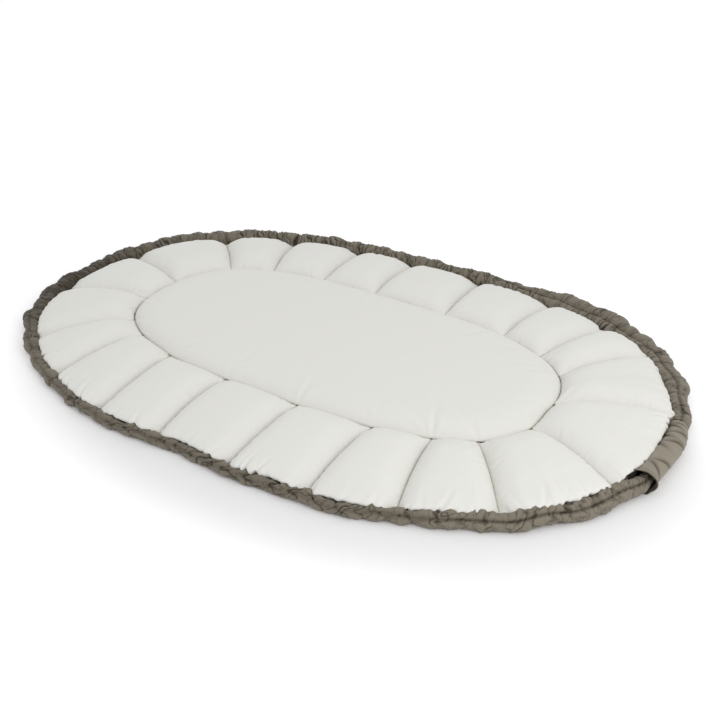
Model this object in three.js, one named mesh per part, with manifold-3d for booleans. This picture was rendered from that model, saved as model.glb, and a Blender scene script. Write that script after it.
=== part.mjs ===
// An infant lounger of quilted, stuffed cotton, opened out flat on the floor: a long centre pad,
// twenty sewn chambers round it that fold up into a wall, an outer cover whose rim is a gathered
// casing, the drawstring in that casing, and a cloth sleeve that hides the cord lock at the foot end.
// Millimetres. The origin is on the floor under the middle of the centre pad, X runs towards the
// foot end, Y across and Z up.
import * as THREE from 'three';
import { mergeVertices } from 'three/addons/utils/BufferGeometryUtils.js';
import Module from 'manifold-3d';

// The quilted top seen from above: two ovals, x to a power plus y to a power being constant
const matHalfLength = 496;
const matHalfWidth = 330;
const matPower = 2.48;
const padHalfLength = 350;
const padHalfWidth = 179;
const padPower = 2.72;

// Each radial seam's direction from the middle in degrees, at the rim and at the centre pad
const seams = [
  [190, 187], [210, 200], [225, 209], [242, 223], [259, 249],
  [280, 288], [299, 316], [315, 330], [330, 339], [348, 352],
  [371, 364], [391, 380], [403, 390], [418, 401], [440, 426],
  [462, 467], [479, 492], [496, 508], [511, 519], [531, 535],
];
const closureChamber = 9;

// Stuffed heights above the floor
const padSeamHeight = 24;
const rimSeamHeight = 15;
const chamberRise = 27;
const fullRiseHalfWidth = 48;
const padRise = 20;
const padCrown = 2;
const chamberShoulder = 40;
const padShoulder = 42;
const rimEndShare = 0.28;
const swellPower = 2.4;
const swellRound = 0.62;

// Cloth, seams and clearances
const coverThickness = 1.2;
const seamLift = 8;
const drawIn = 14;
const drawInMostShare = 0.4;
const seamGap = 0.4;
const layerGap = 0.3;

// The gathered casing round the rim, fuller on the far side, which is at +Y
const casingRadius = 13.5;
const farSwell = 3;
const casingLift = 0.2;
const boreRadius = 3.5;
const tuckClearance = 0.5;
const casingSides = 8;

// The drawstring and its end caps
const cordRadius = 2;
const cordSpacing = 6.4;
const cordTail = 24;
const endCapRadius = 3.6;
const endCapLength = 10;
const endCapSeat = 6;

// The closure at the foot end, with places along Y
const sleeveMouth = -62;
const sleeveSewnEnd = 84;
const sleeveRadius = 16.5;
const sleeveWall = 1.5;
const sleeveStraightEnd = 10;
const hemLength = 8;
const hemThickening = 1;
const casingNeck = -76;
const casingNeckRadius = 12.5;
const casingTip = -46;
const casingTipRadius = 10.5;
const lockPlace = -5;

// The cord lock, whose plunger slides down in its cup against a spring
const lockRadius = 9;
const lockFloor = 1.5;
const lockTopWall = 3.2;
const plungerRadius = 7;
const plungerFoot = 2;
const plungerTravel = 2.5;
const plungerCap = 1.5;
const springRoom = 5;
const springRadius = 4.5;
const springWire = 0.35;
const springTurns = 3;
const slotOverrun = 5;

// How many flat sides the turned and wound pieces have
const lockSides = 24;
const capSides = 12;
const springSides = 5;
const springStepsPerTurn = 8;

const degrees = Math.PI / 180;
const up = new THREE.Vector3(0, 0, 1);

const cottonMaterial = () => new THREE.MeshStandardMaterial({ color: 0xdcdad2, roughness: 0.9, metalness: 0 });
const coverMaterial = () => new THREE.MeshStandardMaterial({ color: 0x827b6d, roughness: 0.9, metalness: 0 });
const fillingMaterial = () => new THREE.MeshStandardMaterial({ color: 0xe8e0c8, roughness: 1, metalness: 0 });
const cordMaterial = () => new THREE.MeshStandardMaterial({ color: 0x8a8375, roughness: 0.9, metalness: 0 });
const plasticMaterial = () => new THREE.MeshStandardMaterial({ color: 0x3a3834, roughness: 0.5, metalness: 0 });
const steelMaterial = () => new THREE.MeshStandardMaterial({ color: 0xb8b8b8, roughness: 0.3, metalness: 1 });

const lounger = new THREE.Group();

function add(name, geometry, material) {
  const mesh = new THREE.Mesh(geometry, material);
  mesh.name = name;
  lounger.add(mesh);
  return mesh;
}

// Points, faces and solids

function solid(points, faces) {
  const geometry = new THREE.BufferGeometry();
  geometry.setAttribute('position', new THREE.Float32BufferAttribute(points.flatMap((p) => [p.x, p.y, p.z]), 3));
  geometry.setIndex(faces);
  geometry.computeVertexNormals();
  return geometry;
}

const quad = (a, b, c, d) => [a, b, c, a, c, d];

// A closed solid between an upper and a lower grid, with rows going outwards and columns anticlockwise
function slab(upper, lower) {
  const rows = upper.length;
  const columns = upper[0].length;
  const below = rows * columns;
  const at = (row, column) => row * columns + column;
  const faces = [];
  for (let row = 0; row + 1 < rows; row++) {
    for (let column = 0; column + 1 < columns; column++) {
      const corners = [at(row, column), at(row + 1, column), at(row + 1, column + 1), at(row, column + 1)];
      const [a, b, c, d] = corners.map((corner) => corner + below);
      faces.push(...quad(...corners));
      faces.push(...quad(a, d, c, b));
    }
  }
  const edge = [];
  for (let row = 0; row + 1 < rows; row++) edge.push([at(row, 0), at(row + 1, 0)]);
  for (let column = 0; column + 1 < columns; column++) edge.push([at(rows - 1, column), at(rows - 1, column + 1)]);
  for (let row = rows - 1; row > 0; row--) edge.push([at(row, columns - 1), at(row - 1, columns - 1)]);
  for (let column = columns - 1; column > 0; column--) edge.push([at(0, column), at(0, column - 1)]);
  for (const [a, b] of edge) faces.push(...quad(a, a + below, b + below, b));
  return solid([...upper.flat(), ...lower.flat()], faces);
}

// A closed solid between an upper and a lower set of rings, each set running inwards to a middle point
function roundSlab(upper, upperMiddle, lower, lowerMiddle) {
  const count = upper[0].length;
  const points = [...upper.flat(), ...lower.flat(), upperMiddle, lowerMiddle];
  const faces = [];
  const wind = (first, rings, middle, faceUp) => {
    const put = (corners) => faces.push(...(faceUp ? corners : corners.reverse()));
    for (let step = 0; step < count; step++) {
      const next = (step + 1) % count;
      for (let ring = 0; ring + 1 < rings; ring++) {
        const outer = first + ring * count;
        const inner = outer + count;
        put(quad(outer + step, outer + next, inner + next, inner + step));
      }
      const last = first + (rings - 1) * count;
      put([last + step, last + next, middle]);
    }
  };
  const below = upper.length * count;
  wind(0, upper.length, points.length - 2, true);
  wind(below, lower.length, points.length - 1, false);
  for (let step = 0; step < count; step++) {
    const next = (step + 1) % count;
    faces.push(...quad(step, below + step, below + next, next));
  }
  return solid(points, faces);
}

// A closed pipe with a bore through it, from rings of outer and of inner points of one count
function pipe(outerRings, innerRings) {
  const rings = outerRings.length;
  const count = outerRings[0].length;
  const bore = rings * count;
  const faces = [];
  for (let side = 0; side < count; side++) {
    const next = (side + 1) % count;
    for (let ring = 0; ring + 1 < rings; ring++) {
      const here = ring * count;
      const there = here + count;
      faces.push(...quad(here + side, there + side, there + next, here + next));
      faces.push(...quad(bore + here + side, bore + here + next, bore + there + next, bore + there + side));
    }
    const last = (rings - 1) * count;
    faces.push(...quad(side, next, bore + next, bore + side));
    faces.push(...quad(last + side, bore + last + side, bore + last + next, last + next));
  }
  return solid([...outerRings.flat(), ...innerRings.flat()], faces);
}

// The points of a round section that stands on the way given, with flat sides below and above
function ring(centre, sideways, radius, sides) {
  return Array.from({ length: sides }, (_, step) => {
    const angle = ((step + 0.5) / sides) * 2 * Math.PI;
    return centre.clone()
      .addScaledVector(sideways, radius * Math.cos(angle))
      .addScaledVector(up, radius * Math.sin(angle));
  });
}

const wasm = await Module();
wasm.setup();

function toManifold(geometry) {
  const bare = geometry.clone();
  bare.deleteAttribute('normal');
  bare.deleteAttribute('uv');
  const merged = mergeVertices(bare);
  return new wasm.Manifold(new wasm.Mesh({
    numProp: 3,
    vertProperties: new Float32Array(merged.attributes.position.array),
    triVerts: new Uint32Array(merged.index.array),
  }));
}

function fromManifold(manifold) {
  const mesh = manifold.getMesh();
  const geometry = new THREE.BufferGeometry();
  geometry.setAttribute('position', new THREE.BufferAttribute(new Float32Array(mesh.vertProperties), 3));
  geometry.setIndex(Array.from(mesh.triVerts));
  geometry.computeVertexNormals();
  return geometry;
}

// The plan of the quilted top

function ovalPoint(direction, halfLength, halfWidth, power) {
  const x = Math.cos(direction * degrees);
  const y = Math.sin(direction * degrees);
  const reach = (Math.abs(x / halfLength) ** power + Math.abs(y / halfWidth) ** power) ** (-1 / power);
  return new THREE.Vector3(x * reach, y * reach, 0);
}

const rimPoint = (direction) => ovalPoint(direction, matHalfLength, matHalfWidth, matPower);
const padPoint = (direction) => ovalPoint(direction, padHalfLength, padHalfWidth, padPower);

// How far stuffed cloth has swelled at a share of the way in from its seam to its crown
const swell = (share) => (1 - (1 - Math.min(share, 1)) ** swellPower) ** swellRound;

// One chamber's plan: across runs from -1 at its first seam to 1 at the next, and the ray there runs
// outwards from the hinge line at the centre pad to the rim
function chamberPlan(index) {
  const [rimStart, padStart] = seams[index];
  const wraps = index + 1 === seams.length;
  const [rimEnd, padEnd] = seams[(index + 1) % seams.length].map((direction) => direction + (wraps ? 360 : 0));
  const first = padPoint(padStart);
  const last = padPoint(padEnd);
  const along = last.clone().sub(first).normalize();
  const outwards = along.clone().cross(up);
  const middle = first.clone().lerp(last, 0.5).addScaledVector(outwards, seamGap / 2);
  const halfHinge = (first.distanceTo(last) - seamGap) / 2;
  const ray = (across) => {
    const centreTurn = (rimStart + rimEnd) / 2;
    const gapTurn = seamGap / 2 / rimPoint(centreTurn).length() / degrees;
    const direction = centreTurn + across * ((rimEnd - rimStart) / 2 - gapTurn);
    const from = middle.clone().addScaledVector(along, across * halfHinge);
    const to = rimPoint(direction);
    return { from, to, direction, way: to.clone().sub(from).normalize(), length: from.distanceTo(to) };
  };
  return { ray, middle, along, outwards };
}

// How far out a chamber's rows lie: its drawn-in edges and, between them, shares of its length
const rowShares = [0.27, 0.5, 0.73];
const rowsOut = (length, tuck) => [
  0, drawIn, ...rowShares.map((share) => share * length), length - drawIn, length + tuck,
];

// Where the drawn-in edge lies across a chamber of a half width, and the lines drawn across it there
const edgeShare = (halfWidth) => 1 - Math.min(drawIn / halfWidth, drawInMostShare);
const padLines = (edge) => [-1, -edge, -edge / 3, edge / 3, edge, 1];
const sheetLines = (edge) => [-1, -edge, edge, 1];

// Rows of points over a chamber, each with its height worked out from where it is
function chamberGrid(plan, acrossLines, heightAt, tuckAt = () => 0) {
  return rowsOut(0, 0).map((_, row) => {
    const place = (across) => {
      const { from, way, length, direction } = plan.ray(across);
      const out = rowsOut(length, tuckAt(direction))[row];
      return { point: from.clone().addScaledVector(way, out), across, out, length };
    };
    const halfWidth = place(1).point.distanceTo(place(-1).point) / 2;
    const edge = edgeShare(halfWidth);
    return acrossLines(edge).map((across) => {
      const { point, ...where } = place(across);
      return point.setZ(heightAt({ ...where, edge, halfWidth }));
    });
  });
}

// The underside rises to the stitching at a chamber's radial seams and at its hinge line
function liftAt({ across, edge, out }) {
  const bySeam = Math.max(0, (Math.abs(across) - edge) / (1 - edge));
  const byHinge = Math.max(0, 1 - out / drawIn);
  return seamLift * Math.max(bySeam, byHinge);
}

function crownAt({ across, out, length, halfWidth }) {
  const seamHeight = padSeamHeight + (rimSeamHeight - padSeamHeight) * (out / length);
  const atRim = rimEndShare + (1 - rimEndShare) * swell((length - out) / chamberShoulder);
  const along = Math.min(swell(out / chamberShoulder), atRim);
  const widthShare = Math.min(1, halfWidth / fullRiseHalfWidth);
  return seamHeight + chamberRise * widthShare * along * swell(1 - Math.abs(across));
}

// Stuffed chambers
const padBase = coverThickness + layerGap;
const plans = seams.map((_, index) => chamberPlan(index));
const numbered = (name, index) => `${name}_${String(index + 1).padStart(2, '0')}`;

plans.forEach((plan, index) => {
  const upper = chamberGrid(plan, padLines, crownAt);
  const lower = chamberGrid(plan, padLines, (place) => padBase + liftAt(place));
  add(numbered('chamber_pad', index), slab(upper, lower), cottonMaterial());
});

// The casing's middle line, beside the ends of the chambers and just off the floor
const flatShare = Math.cos(Math.PI / casingSides);
const casingRadiusAt = (direction) => casingRadius + farSwell * Math.sin(direction * degrees);

function casingStation(plan, across) {
  const { to, way, direction } = plan.ray(across);
  const radius = casingRadiusAt(direction);
  const centre = to.clone().addScaledVector(way, layerGap + radius * flatShare);
  centre.setZ(casingLift + radius * flatShare);
  return { centre, way, radius };
}

// The underside's cloth is tucked into the casing's wall as far as the bore
const coverTuckAt = (direction) => layerGap + casingRadiusAt(direction) * flatShare - boreRadius - tuckClearance;

// The casing's bends meet the chamber's end at the same lines across
const rimHalfWidth = (plan) => plan.ray(1).to.distanceTo(plan.ray(-1).to) / 2;
const casingLines = (plan) => padLines(edgeShare(rimHalfWidth(plan)));

function casingPipe(stations) {
  const outer = stations.map(({ centre, way, radius }) => ring(centre, way, radius, casingSides));
  const inner = stations.map(({ centre, way }) => ring(centre, way, boreRadius, casingSides));
  return toManifold(pipe(outer, inner));
}

// The closure: a straight sleeve beside the foot end, its axis set off the chambers by its thick hem
const hemRadius = sleeveRadius + hemThickening;
const sleeveX = matHalfLength + layerGap + hemRadius;
const sleeveZ = layerGap + hemRadius;
const closurePlan = plans[closureChamber];

// The station of the closure chamber's casing at a place along Y
const acrossTolerance = 1e-6;

function closureStation(place) {
  let low = -1;
  let high = 1;
  while (high - low > acrossTolerance) {
    const across = (low + high) / 2;
    if (casingStation(closurePlan, across).centre.y < place) low = across;
    else high = across;
  }
  return casingStation(closurePlan, low);
}

// The casing runs all round but stops short on both sides of the cord lock: one end is sewn to the
// sleeve and the other narrows into its mouth
const acrossFoot = new THREE.Vector3(1, 0, 0);
const firstCordX = sleeveX - cordSpacing / 2;
const secondCordX = sleeveX + cordSpacing / 2;
const sewnStation = { ...closureStation(sleeveSewnEnd), way: acrossFoot };
const tipStations = [[casingNeck, casingNeckRadius, sleeveX], [casingTip, casingTipRadius, secondCordX]]
  .map(([place, radius, x]) => ({ centre: new THREE.Vector3(x, place, sleeveZ), way: acrossFoot, radius }));
const closureCasings = [
  [casingStation(closurePlan, -1), ...tipStations],
  [sewnStation, casingStation(closurePlan, 1)],
];

// Outer cover sections: the cloth under a chamber and the casing sewn to its rim
plans.forEach((plan, index) => {
  const heightUnder = (place) => liftAt(place);
  const heightOver = (place) => coverThickness + liftAt(place);
  const upper = chamberGrid(plan, sheetLines, heightOver, coverTuckAt);
  const lower = chamberGrid(plan, sheetLines, heightUnder, coverTuckAt);
  const runs = index === closureChamber
    ? closureCasings
    : [casingLines(plan).map((across) => casingStation(plan, across))];
  const cover = runs.reduce((whole, run) => whole.add(casingPipe(run)), toManifold(slab(upper, lower)));
  add(numbered('outer_cover', index), fromManifold(cover), coverMaterial());
});

// The centre pad: filling between a cotton top cover, open below, and a flat underside
function padRing(inset, height) {
  return seams.map(([, direction]) => {
    const point = padPoint(direction);
    return point.setLength(point.length() - seamGap - inset).setZ(height);
  });
}

const padInsetShares = [0.52, 1];
const padInsets = [0, drawIn, ...padInsetShares.map((share) => share * padShoulder)];
const padTop = (inset) => padSeamHeight + padRise * swell(inset / padShoulder);
const middlePoint = (height) => new THREE.Vector3(0, 0, height);
const padPeak = padTop(padShoulder) + padCrown;
const padUnder = (thickness, lowest) => padInsets.slice(0, 2)
  .map((inset) => padRing(inset + thickness, lowest + (inset ? 0 : seamLift)));

const fillingInset = coverThickness + layerGap;
add('centre_top_cover', roundSlab(
  [padRing(0, padBase + seamLift), ...padInsets.map((inset) => padRing(inset, padTop(inset)))],
  middlePoint(padPeak),
  [
    padRing(coverThickness, padBase + seamLift),
    ...padInsets.map((inset) => padRing(inset + coverThickness, padTop(inset) - coverThickness)),
  ],
  middlePoint(padPeak - coverThickness),
), cottonMaterial());
add('centre_filling', roundSlab(
  padInsets.map((inset) => padRing(inset + fillingInset, padTop(inset) - fillingInset)),
  middlePoint(padPeak - fillingInset),
  padUnder(fillingInset, padBase),
  middlePoint(padBase),
), fillingMaterial());
add('centre_underside', roundSlab(
  padUnder(0, coverThickness),
  middlePoint(coverThickness),
  padUnder(0, 0),
  middlePoint(0),
), coverMaterial());

// The drawstring: one cord through the whole casing, its two tails side by side in the cord lock

// A route stepped point by point, so that every point is a bend of the tube
class Route extends THREE.Curve {
  constructor(points) {
    super();
    this.points = points;
  }

  getPoint(share, target = new THREE.Vector3()) {
    const place = share * (this.points.length - 1);
    const first = Math.min(Math.floor(place), this.points.length - 2);
    return target.lerpVectors(this.points[first], this.points[first + 1], place - first);
  }

  getPointAt(share, target) {
    return this.getPoint(share, target);
  }

  getTangentAt(share, target) {
    return this.getTangent(share, target);
  }
}

function roundShape(radius, sides) {
  return new THREE.Shape(Array.from({ length: sides }, (_, step) => {
    const angle = (step / sides) * 2 * Math.PI;
    return new THREE.Vector2(radius * Math.cos(angle), radius * Math.sin(angle));
  }));
}

const inLock = (x, along) => new THREE.Vector3(x, lockPlace + along, sleeveZ);
const lockReach = lockRadius + cordRadius;
const ringChambers = plans.map((_, step) => (closureChamber + 1 + step) % plans.length).slice(0, -1);
const cordLines = [-1, -1 / 3, 1 / 3];
const casingCentres = ringChambers.flatMap((index) => cordLines
  .map((across) => casingStation(plans[index], across).centre));
const cordPoints = [
  inLock(firstCordX, -cordTail),
  inLock(firstCordX, -lockReach),
  inLock(firstCordX, lockReach),
  sewnStation.centre,
  ...casingCentres,
  casingStation(closurePlan, -1).centre,
  ...tipStations.map((station) => station.centre),
  inLock(secondCordX, -lockReach),
  inLock(secondCordX, lockReach),
  inLock(secondCordX, cordTail),
];
add('drawstring', new THREE.ExtrudeGeometry(roundShape(cordRadius, casingSides), {
  steps: cordPoints.length - 1,
  extrudePath: new Route(cordPoints),
}), cordMaterial());

// A cap crimped on each tail, its seat facing back along the cord
function endCap() {
  const bore = cordRadius + layerGap;
  const profile = [
    [0, 0], [endCapRadius, 0], [endCapRadius, endCapLength],
    [bore, endCapLength], [bore, endCapLength - endCapSeat], [0, endCapLength - endCapSeat],
  ];
  return new THREE.LatheGeometry(profile.map(([x, y]) => new THREE.Vector2(x, y)), capSides);
}

const capFloor = endCapLength - endCapSeat + layerGap;
const firstCap = add('cord_end_cap_1', endCap(), plasticMaterial());
firstCap.position.copy(inLock(firstCordX, -cordTail - capFloor));
const secondCap = add('cord_end_cap_2', endCap(), plasticMaterial());
secondCap.position.copy(inLock(secondCordX, cordTail + capFloor));
secondCap.rotation.z = Math.PI;

// The cord lock: cup, plunger and spring, all on one upright axis
const cordRoom = cordRadius + layerGap;
const slotWidth = cordSpacing + 2 * cordRoom;
const slotLength = 2 * (lockRadius + slotOverrun);
const slotBottom = -cordRoom;
const plungerBottom = slotBottom - plungerFoot;
const cupFloor = plungerBottom - springRoom;
const cupBottom = cupFloor - lockFloor;
const cupTop = cordRoom + lockTopWall;
const plungerSlotTop = cordRoom + plungerTravel + layerGap;
const plungerTop = cupTop + plungerTravel + plungerCap;

function turned(profile) {
  const geometry = new THREE.LatheGeometry(profile.map(([x, y]) => new THREE.Vector2(x, y)), lockSides);
  return geometry.rotateX(Math.PI / 2);
}

function slot(bottom, top) {
  const box = new THREE.BoxGeometry(slotWidth, slotLength, top - bottom);
  return toManifold(box.translate(0, 0, (top + bottom) / 2));
}

const lockAt = new THREE.Vector3(sleeveX, lockPlace, sleeveZ);
const cupBore = plungerRadius + layerGap;
const cup = toManifold(turned([
  [0, cupBottom], [lockRadius, cupBottom], [lockRadius, cupTop],
  [cupBore, cupTop], [cupBore, cupFloor], [0, cupFloor],
])).subtract(slot(slotBottom, cordRoom));
add('cord_lock_cup', fromManifold(cup), plasticMaterial()).position.copy(lockAt);

const plunger = toManifold(turned([
  [0, plungerBottom], [plungerRadius, plungerBottom], [plungerRadius, plungerTop], [0, plungerTop],
])).subtract(slot(slotBottom, plungerSlotTop));
add('cord_lock_plunger', fromManifold(plunger), plasticMaterial()).position.copy(lockAt);

class Helix extends THREE.Curve {
  getPoint(share, target = new THREE.Vector3()) {
    const angle = share * springTurns * 2 * Math.PI;
    const bottom = cupFloor + layerGap + springWire;
    const top = plungerBottom - layerGap - springWire;
    return target.set(
      springRadius * Math.cos(angle),
      springRadius * Math.sin(angle),
      THREE.MathUtils.lerp(bottom, top, share),
    );
  }
}

add('cord_lock_spring', new THREE.ExtrudeGeometry(roundShape(springWire, springSides), {
  steps: springStepsPerTurn * springTurns,
  extrudePath: new Helix(),
}), steelMaterial()).position.copy(lockAt);

// The cloth sleeve over the lock: sewn to the casing's second end, open at its hemmed mouth
const sleeveSides = 16;

// The sleeve's centre and outer radius at a place: straight over the lock, then bending in and
// narrowing to the casing that it is sewn to
function sleeveSection(place) {
  const bend = Math.max(0, (place - sleeveStraightEnd) / (sleeveSewnEnd - sleeveStraightEnd)) ** 2;
  const centre = new THREE.Vector3(sleeveX, place, sleeveZ).lerp(sewnStation.centre.clone().setY(place), bend);
  return { centre, radius: THREE.MathUtils.lerp(sleeveRadius, sewnStation.radius * flatShare, bend) };
}

function clothPipe(sections, thickening) {
  return pipe(
    sections.map(({ centre, radius }) => ring(centre, acrossFoot, radius + thickening, sleeveSides)),
    sections.map(({ centre, radius }) => ring(centre, acrossFoot, radius - sleeveWall, sleeveSides)),
  );
}

const sleeveEnd = sleeveSewnEnd - layerGap;
const sleevePlaceShares = [0, 0.25, 0.5, 0.65, 0.8, 0.9, 1];
const sleeveSections = sleevePlaceShares
  .map((share) => sleeveSection(THREE.MathUtils.lerp(sleeveMouth, sleeveEnd, share)));
add('closure_sleeve', clothPipe(sleeveSections, 0), coverMaterial());

const hemStart = sleeveMouth - layerGap;
const hemSections = [hemStart - hemLength, hemStart].map(sleeveSection);
add('sleeve_hem', clothPipe(hemSections, hemThickening), coverMaterial());

export default lounger;
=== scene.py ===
import math

import bpy
import numpy as np
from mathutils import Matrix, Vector


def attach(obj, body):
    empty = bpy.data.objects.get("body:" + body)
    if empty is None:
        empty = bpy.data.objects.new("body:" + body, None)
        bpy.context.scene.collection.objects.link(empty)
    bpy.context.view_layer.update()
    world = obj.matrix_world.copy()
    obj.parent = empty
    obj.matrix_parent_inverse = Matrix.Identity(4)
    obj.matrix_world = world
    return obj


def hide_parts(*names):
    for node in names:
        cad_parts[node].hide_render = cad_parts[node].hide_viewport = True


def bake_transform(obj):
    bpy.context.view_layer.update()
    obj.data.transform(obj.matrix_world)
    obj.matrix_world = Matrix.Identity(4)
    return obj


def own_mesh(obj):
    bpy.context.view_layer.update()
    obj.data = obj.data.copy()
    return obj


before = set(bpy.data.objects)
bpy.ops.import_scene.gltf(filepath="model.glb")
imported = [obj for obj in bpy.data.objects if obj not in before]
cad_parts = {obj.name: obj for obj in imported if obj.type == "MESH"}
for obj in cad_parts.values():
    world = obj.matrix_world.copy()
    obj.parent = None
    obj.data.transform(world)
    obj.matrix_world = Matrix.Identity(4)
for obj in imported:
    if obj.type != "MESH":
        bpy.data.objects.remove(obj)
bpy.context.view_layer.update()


# The photograph's view: a studio shot from the lounger's near right side, looking down at it.
# The camera turns round the middle of the centre pad, which is the origin.
view_azimuth = math.radians(35.19)
view_elevation = math.radians(28.10)
view_distance = 1.789
camera_place = view_distance * Vector((
    math.sin(view_azimuth) * math.cos(view_elevation),
    -math.cos(view_azimuth) * math.cos(view_elevation),
    math.sin(view_elevation),
))
camera_data = bpy.data.cameras.new("photo_camera")
camera_data.sensor_width = 36
camera_data.lens = 59.03
camera_data.shift_x = 0.0312
camera_data.shift_y = -0.0005
camera = bpy.data.objects.new("photo_camera", camera_data)
camera.location = camera_place
camera.rotation_euler = (-camera_place).to_track_quat("-Z", "Y").to_euler()
bpy.context.scene.collection.objects.link(camera)
bpy.context.scene.camera = camera
bpy.context.scene.view_settings.view_transform = "Standard"


# The studio: one sheet of pale paper as the floor, a white room all round, and one soft lamp off the
# foot end. The paper glows for the camera so that it looks white, and its glow is weaker in an oval
# round the lounger's near side, which paints a soft shadow there on top of the real shadow.
paper_colour = (0.865, 0.865, 0.87, 1)
white = (1, 1, 1, 1)
# The paper's glow for the camera: weak in an oval round the lounger's near side, where it paints a soft
# shadow, and strong further out so the paper looks white.
floor_glow_in_painted_shadow = 0.012
floor_glow_far = 0.276
painted_shadow_half_length = 0.51
painted_shadow_half_width = 0.33
painted_shadow_middle = (0.086, -0.105)
painted_shadow_shares = (0.83, 1.19)
room_strength = 0.84
lamp_place = (1.38, -0.50, 0.95)
lamp_size = 0.8
lamp_watts = 5.5


def set_inputs(tree, node, inputs):
    """Gives a node's inputs their values, or links them to the outputs of other nodes."""
    for name, value in inputs.items():
        if isinstance(value, bpy.types.NodeSocket):
            tree.links.new(value, node.inputs[name])
        else:
            node.inputs[name].default_value = value


def add_node(tree, kind, inputs=None, **settings):
    """A new node with its settings, and with its inputs set or linked."""
    node = tree.nodes.new(kind)
    for name, value in settings.items():
        setattr(node, name, value)
    set_inputs(tree, node, inputs or {})
    return node


def new_material(name):
    """A new material, its node tree and its shader."""
    material = bpy.data.materials.new(name)
    material.use_nodes = True
    return material, material.node_tree, material.node_tree.nodes["Principled BSDF"]


bpy.ops.object.select_all(action="DESELECT")
bpy.ops.mesh.primitive_plane_add(size=40, location=(0, 0, 0))
floor = bpy.context.object
floor.name = "studio_floor"
floor_paper, paper, paper_shader = new_material("studio_paper")
painted_shadow_oval = add_node(paper, "ShaderNodeMapping", {
    "Vector": add_node(paper, "ShaderNodeTexCoord").outputs["Object"],
    "Scale": (1 / painted_shadow_half_length, 1 / painted_shadow_half_width, 0),
    "Location": (-painted_shadow_middle[0] / painted_shadow_half_length, -painted_shadow_middle[1] / painted_shadow_half_width, 0),
})
paper_distance = add_node(paper, "ShaderNodeVectorMath", {0: painted_shadow_oval.outputs[0]}, operation="LENGTH")
# Painted shadow: the glow fades in from the oval, so the paper is greyer close to the lounger.
painted_shadow_fade = add_node(paper, "ShaderNodeMapRange", {
    "Value": paper_distance.outputs["Value"],
    "From Min": painted_shadow_shares[0],
    "From Max": painted_shadow_shares[1],
    "To Min": floor_glow_in_painted_shadow,
    "To Max": floor_glow_far,
}, interpolation_type="SMOOTHSTEP")
paper_glow = add_node(paper, "ShaderNodeMath", {
    0: add_node(paper, "ShaderNodeLightPath").outputs["Is Camera Ray"],
    1: painted_shadow_fade.outputs["Result"],
}, operation="MULTIPLY")
set_inputs(paper, paper_shader, {
    "Base Color": paper_colour,
    "Roughness": 0.9,
    "Specular IOR Level": 0.1,
    "Emission Color": white,
    "Emission Strength": paper_glow.outputs[0],
})
floor.data.materials.append(floor_paper)

world = bpy.data.worlds.new("white_room")
bpy.context.scene.world = world
world.use_nodes = True
room = world.node_tree
room_light = room.nodes["Background"]
set_inputs(room, room_light, {"Color": white, "Strength": room_strength})
room_seen = add_node(room, "ShaderNodeBackground", {"Color": white, "Strength": 1})
room_path = add_node(room, "ShaderNodeLightPath")
room_see = add_node(room, "ShaderNodeMath", {
    0: room_path.outputs["Is Camera Ray"], 1: room_path.outputs["Is Glossy Ray"]}, operation="MAXIMUM")
room_mirror = add_node(room, "ShaderNodeMath", {
    0: room_see.outputs[0], 1: room_path.outputs["Is Transmission Ray"]}, operation="MAXIMUM")
room_mix = add_node(room, "ShaderNodeMixShader", {
    "Fac": room_mirror.outputs[0], 1: room_light.outputs[0], 2: room_seen.outputs[0]})
room.links.new(room_mix.outputs[0], room.nodes["World Output"].inputs["Surface"])

lamp_data = bpy.data.lights.new("soft_lamp", "AREA")
lamp_data.shape = "DISK"
lamp_data.size = lamp_size
lamp_data.energy = lamp_watts
lamp = bpy.data.objects.new("soft_lamp", lamp_data)
lamp.location = lamp_place
lamp.rotation_euler = (-lamp.location).to_track_quat("-Z", "Y").to_euler()
bpy.context.scene.collection.objects.link(lamp)


# The stuffed chambers: twenty pockets of cream cotton round the centre pad, filled with kapok.
# One cotton top is sewn down along the radial seams and the inner oval, and puffs up between them.
mat_half_length = 0.496
mat_half_width = 0.330
mat_power = 2.48
pad_half_length = 0.350
pad_half_width = 0.179
pad_power = 2.72
rim_seams = [190, 210, 225, 242, 259, 280, 299, 315, 330, 348, 371,
             391, 403, 418, 440, 462, 479, 496, 511, 531, 550]
pad_seams = [187, 200, 209, 223, 249, 288, 316, 330, 339, 352, 364,
             378, 388, 401, 426, 467, 492, 508, 519, 535, 547]
seam_bows = [0.0, 2.2, -1.5, 2.0, -2.4, 1.8, -2.0, -2.6, 1.5, 2.4,
             1.0, -1.2, -1.8, 2.2, -2.0, 1.6, -1.4, 2.0, -1.8, 1.2]
chamber_count = 20
chambers = range(chamber_count)
closure_chamber = 9
seam_inset = 0.00015
seam_top = 0.0245
seam_float = 0.0050
seam_bottom = 0.0098
pad_base = 0.0016
chamber_rise = 0.0222
full_rise_half_width = 0.042
seam_rise_share = 0.72
seam_shoulder = 0.034
pad_end_shoulder = 0.054
rim_end_shoulder = 0.052
bulge_reach = 0.030
chamber_cell = 0.0056
border_share = 0.9999

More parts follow.
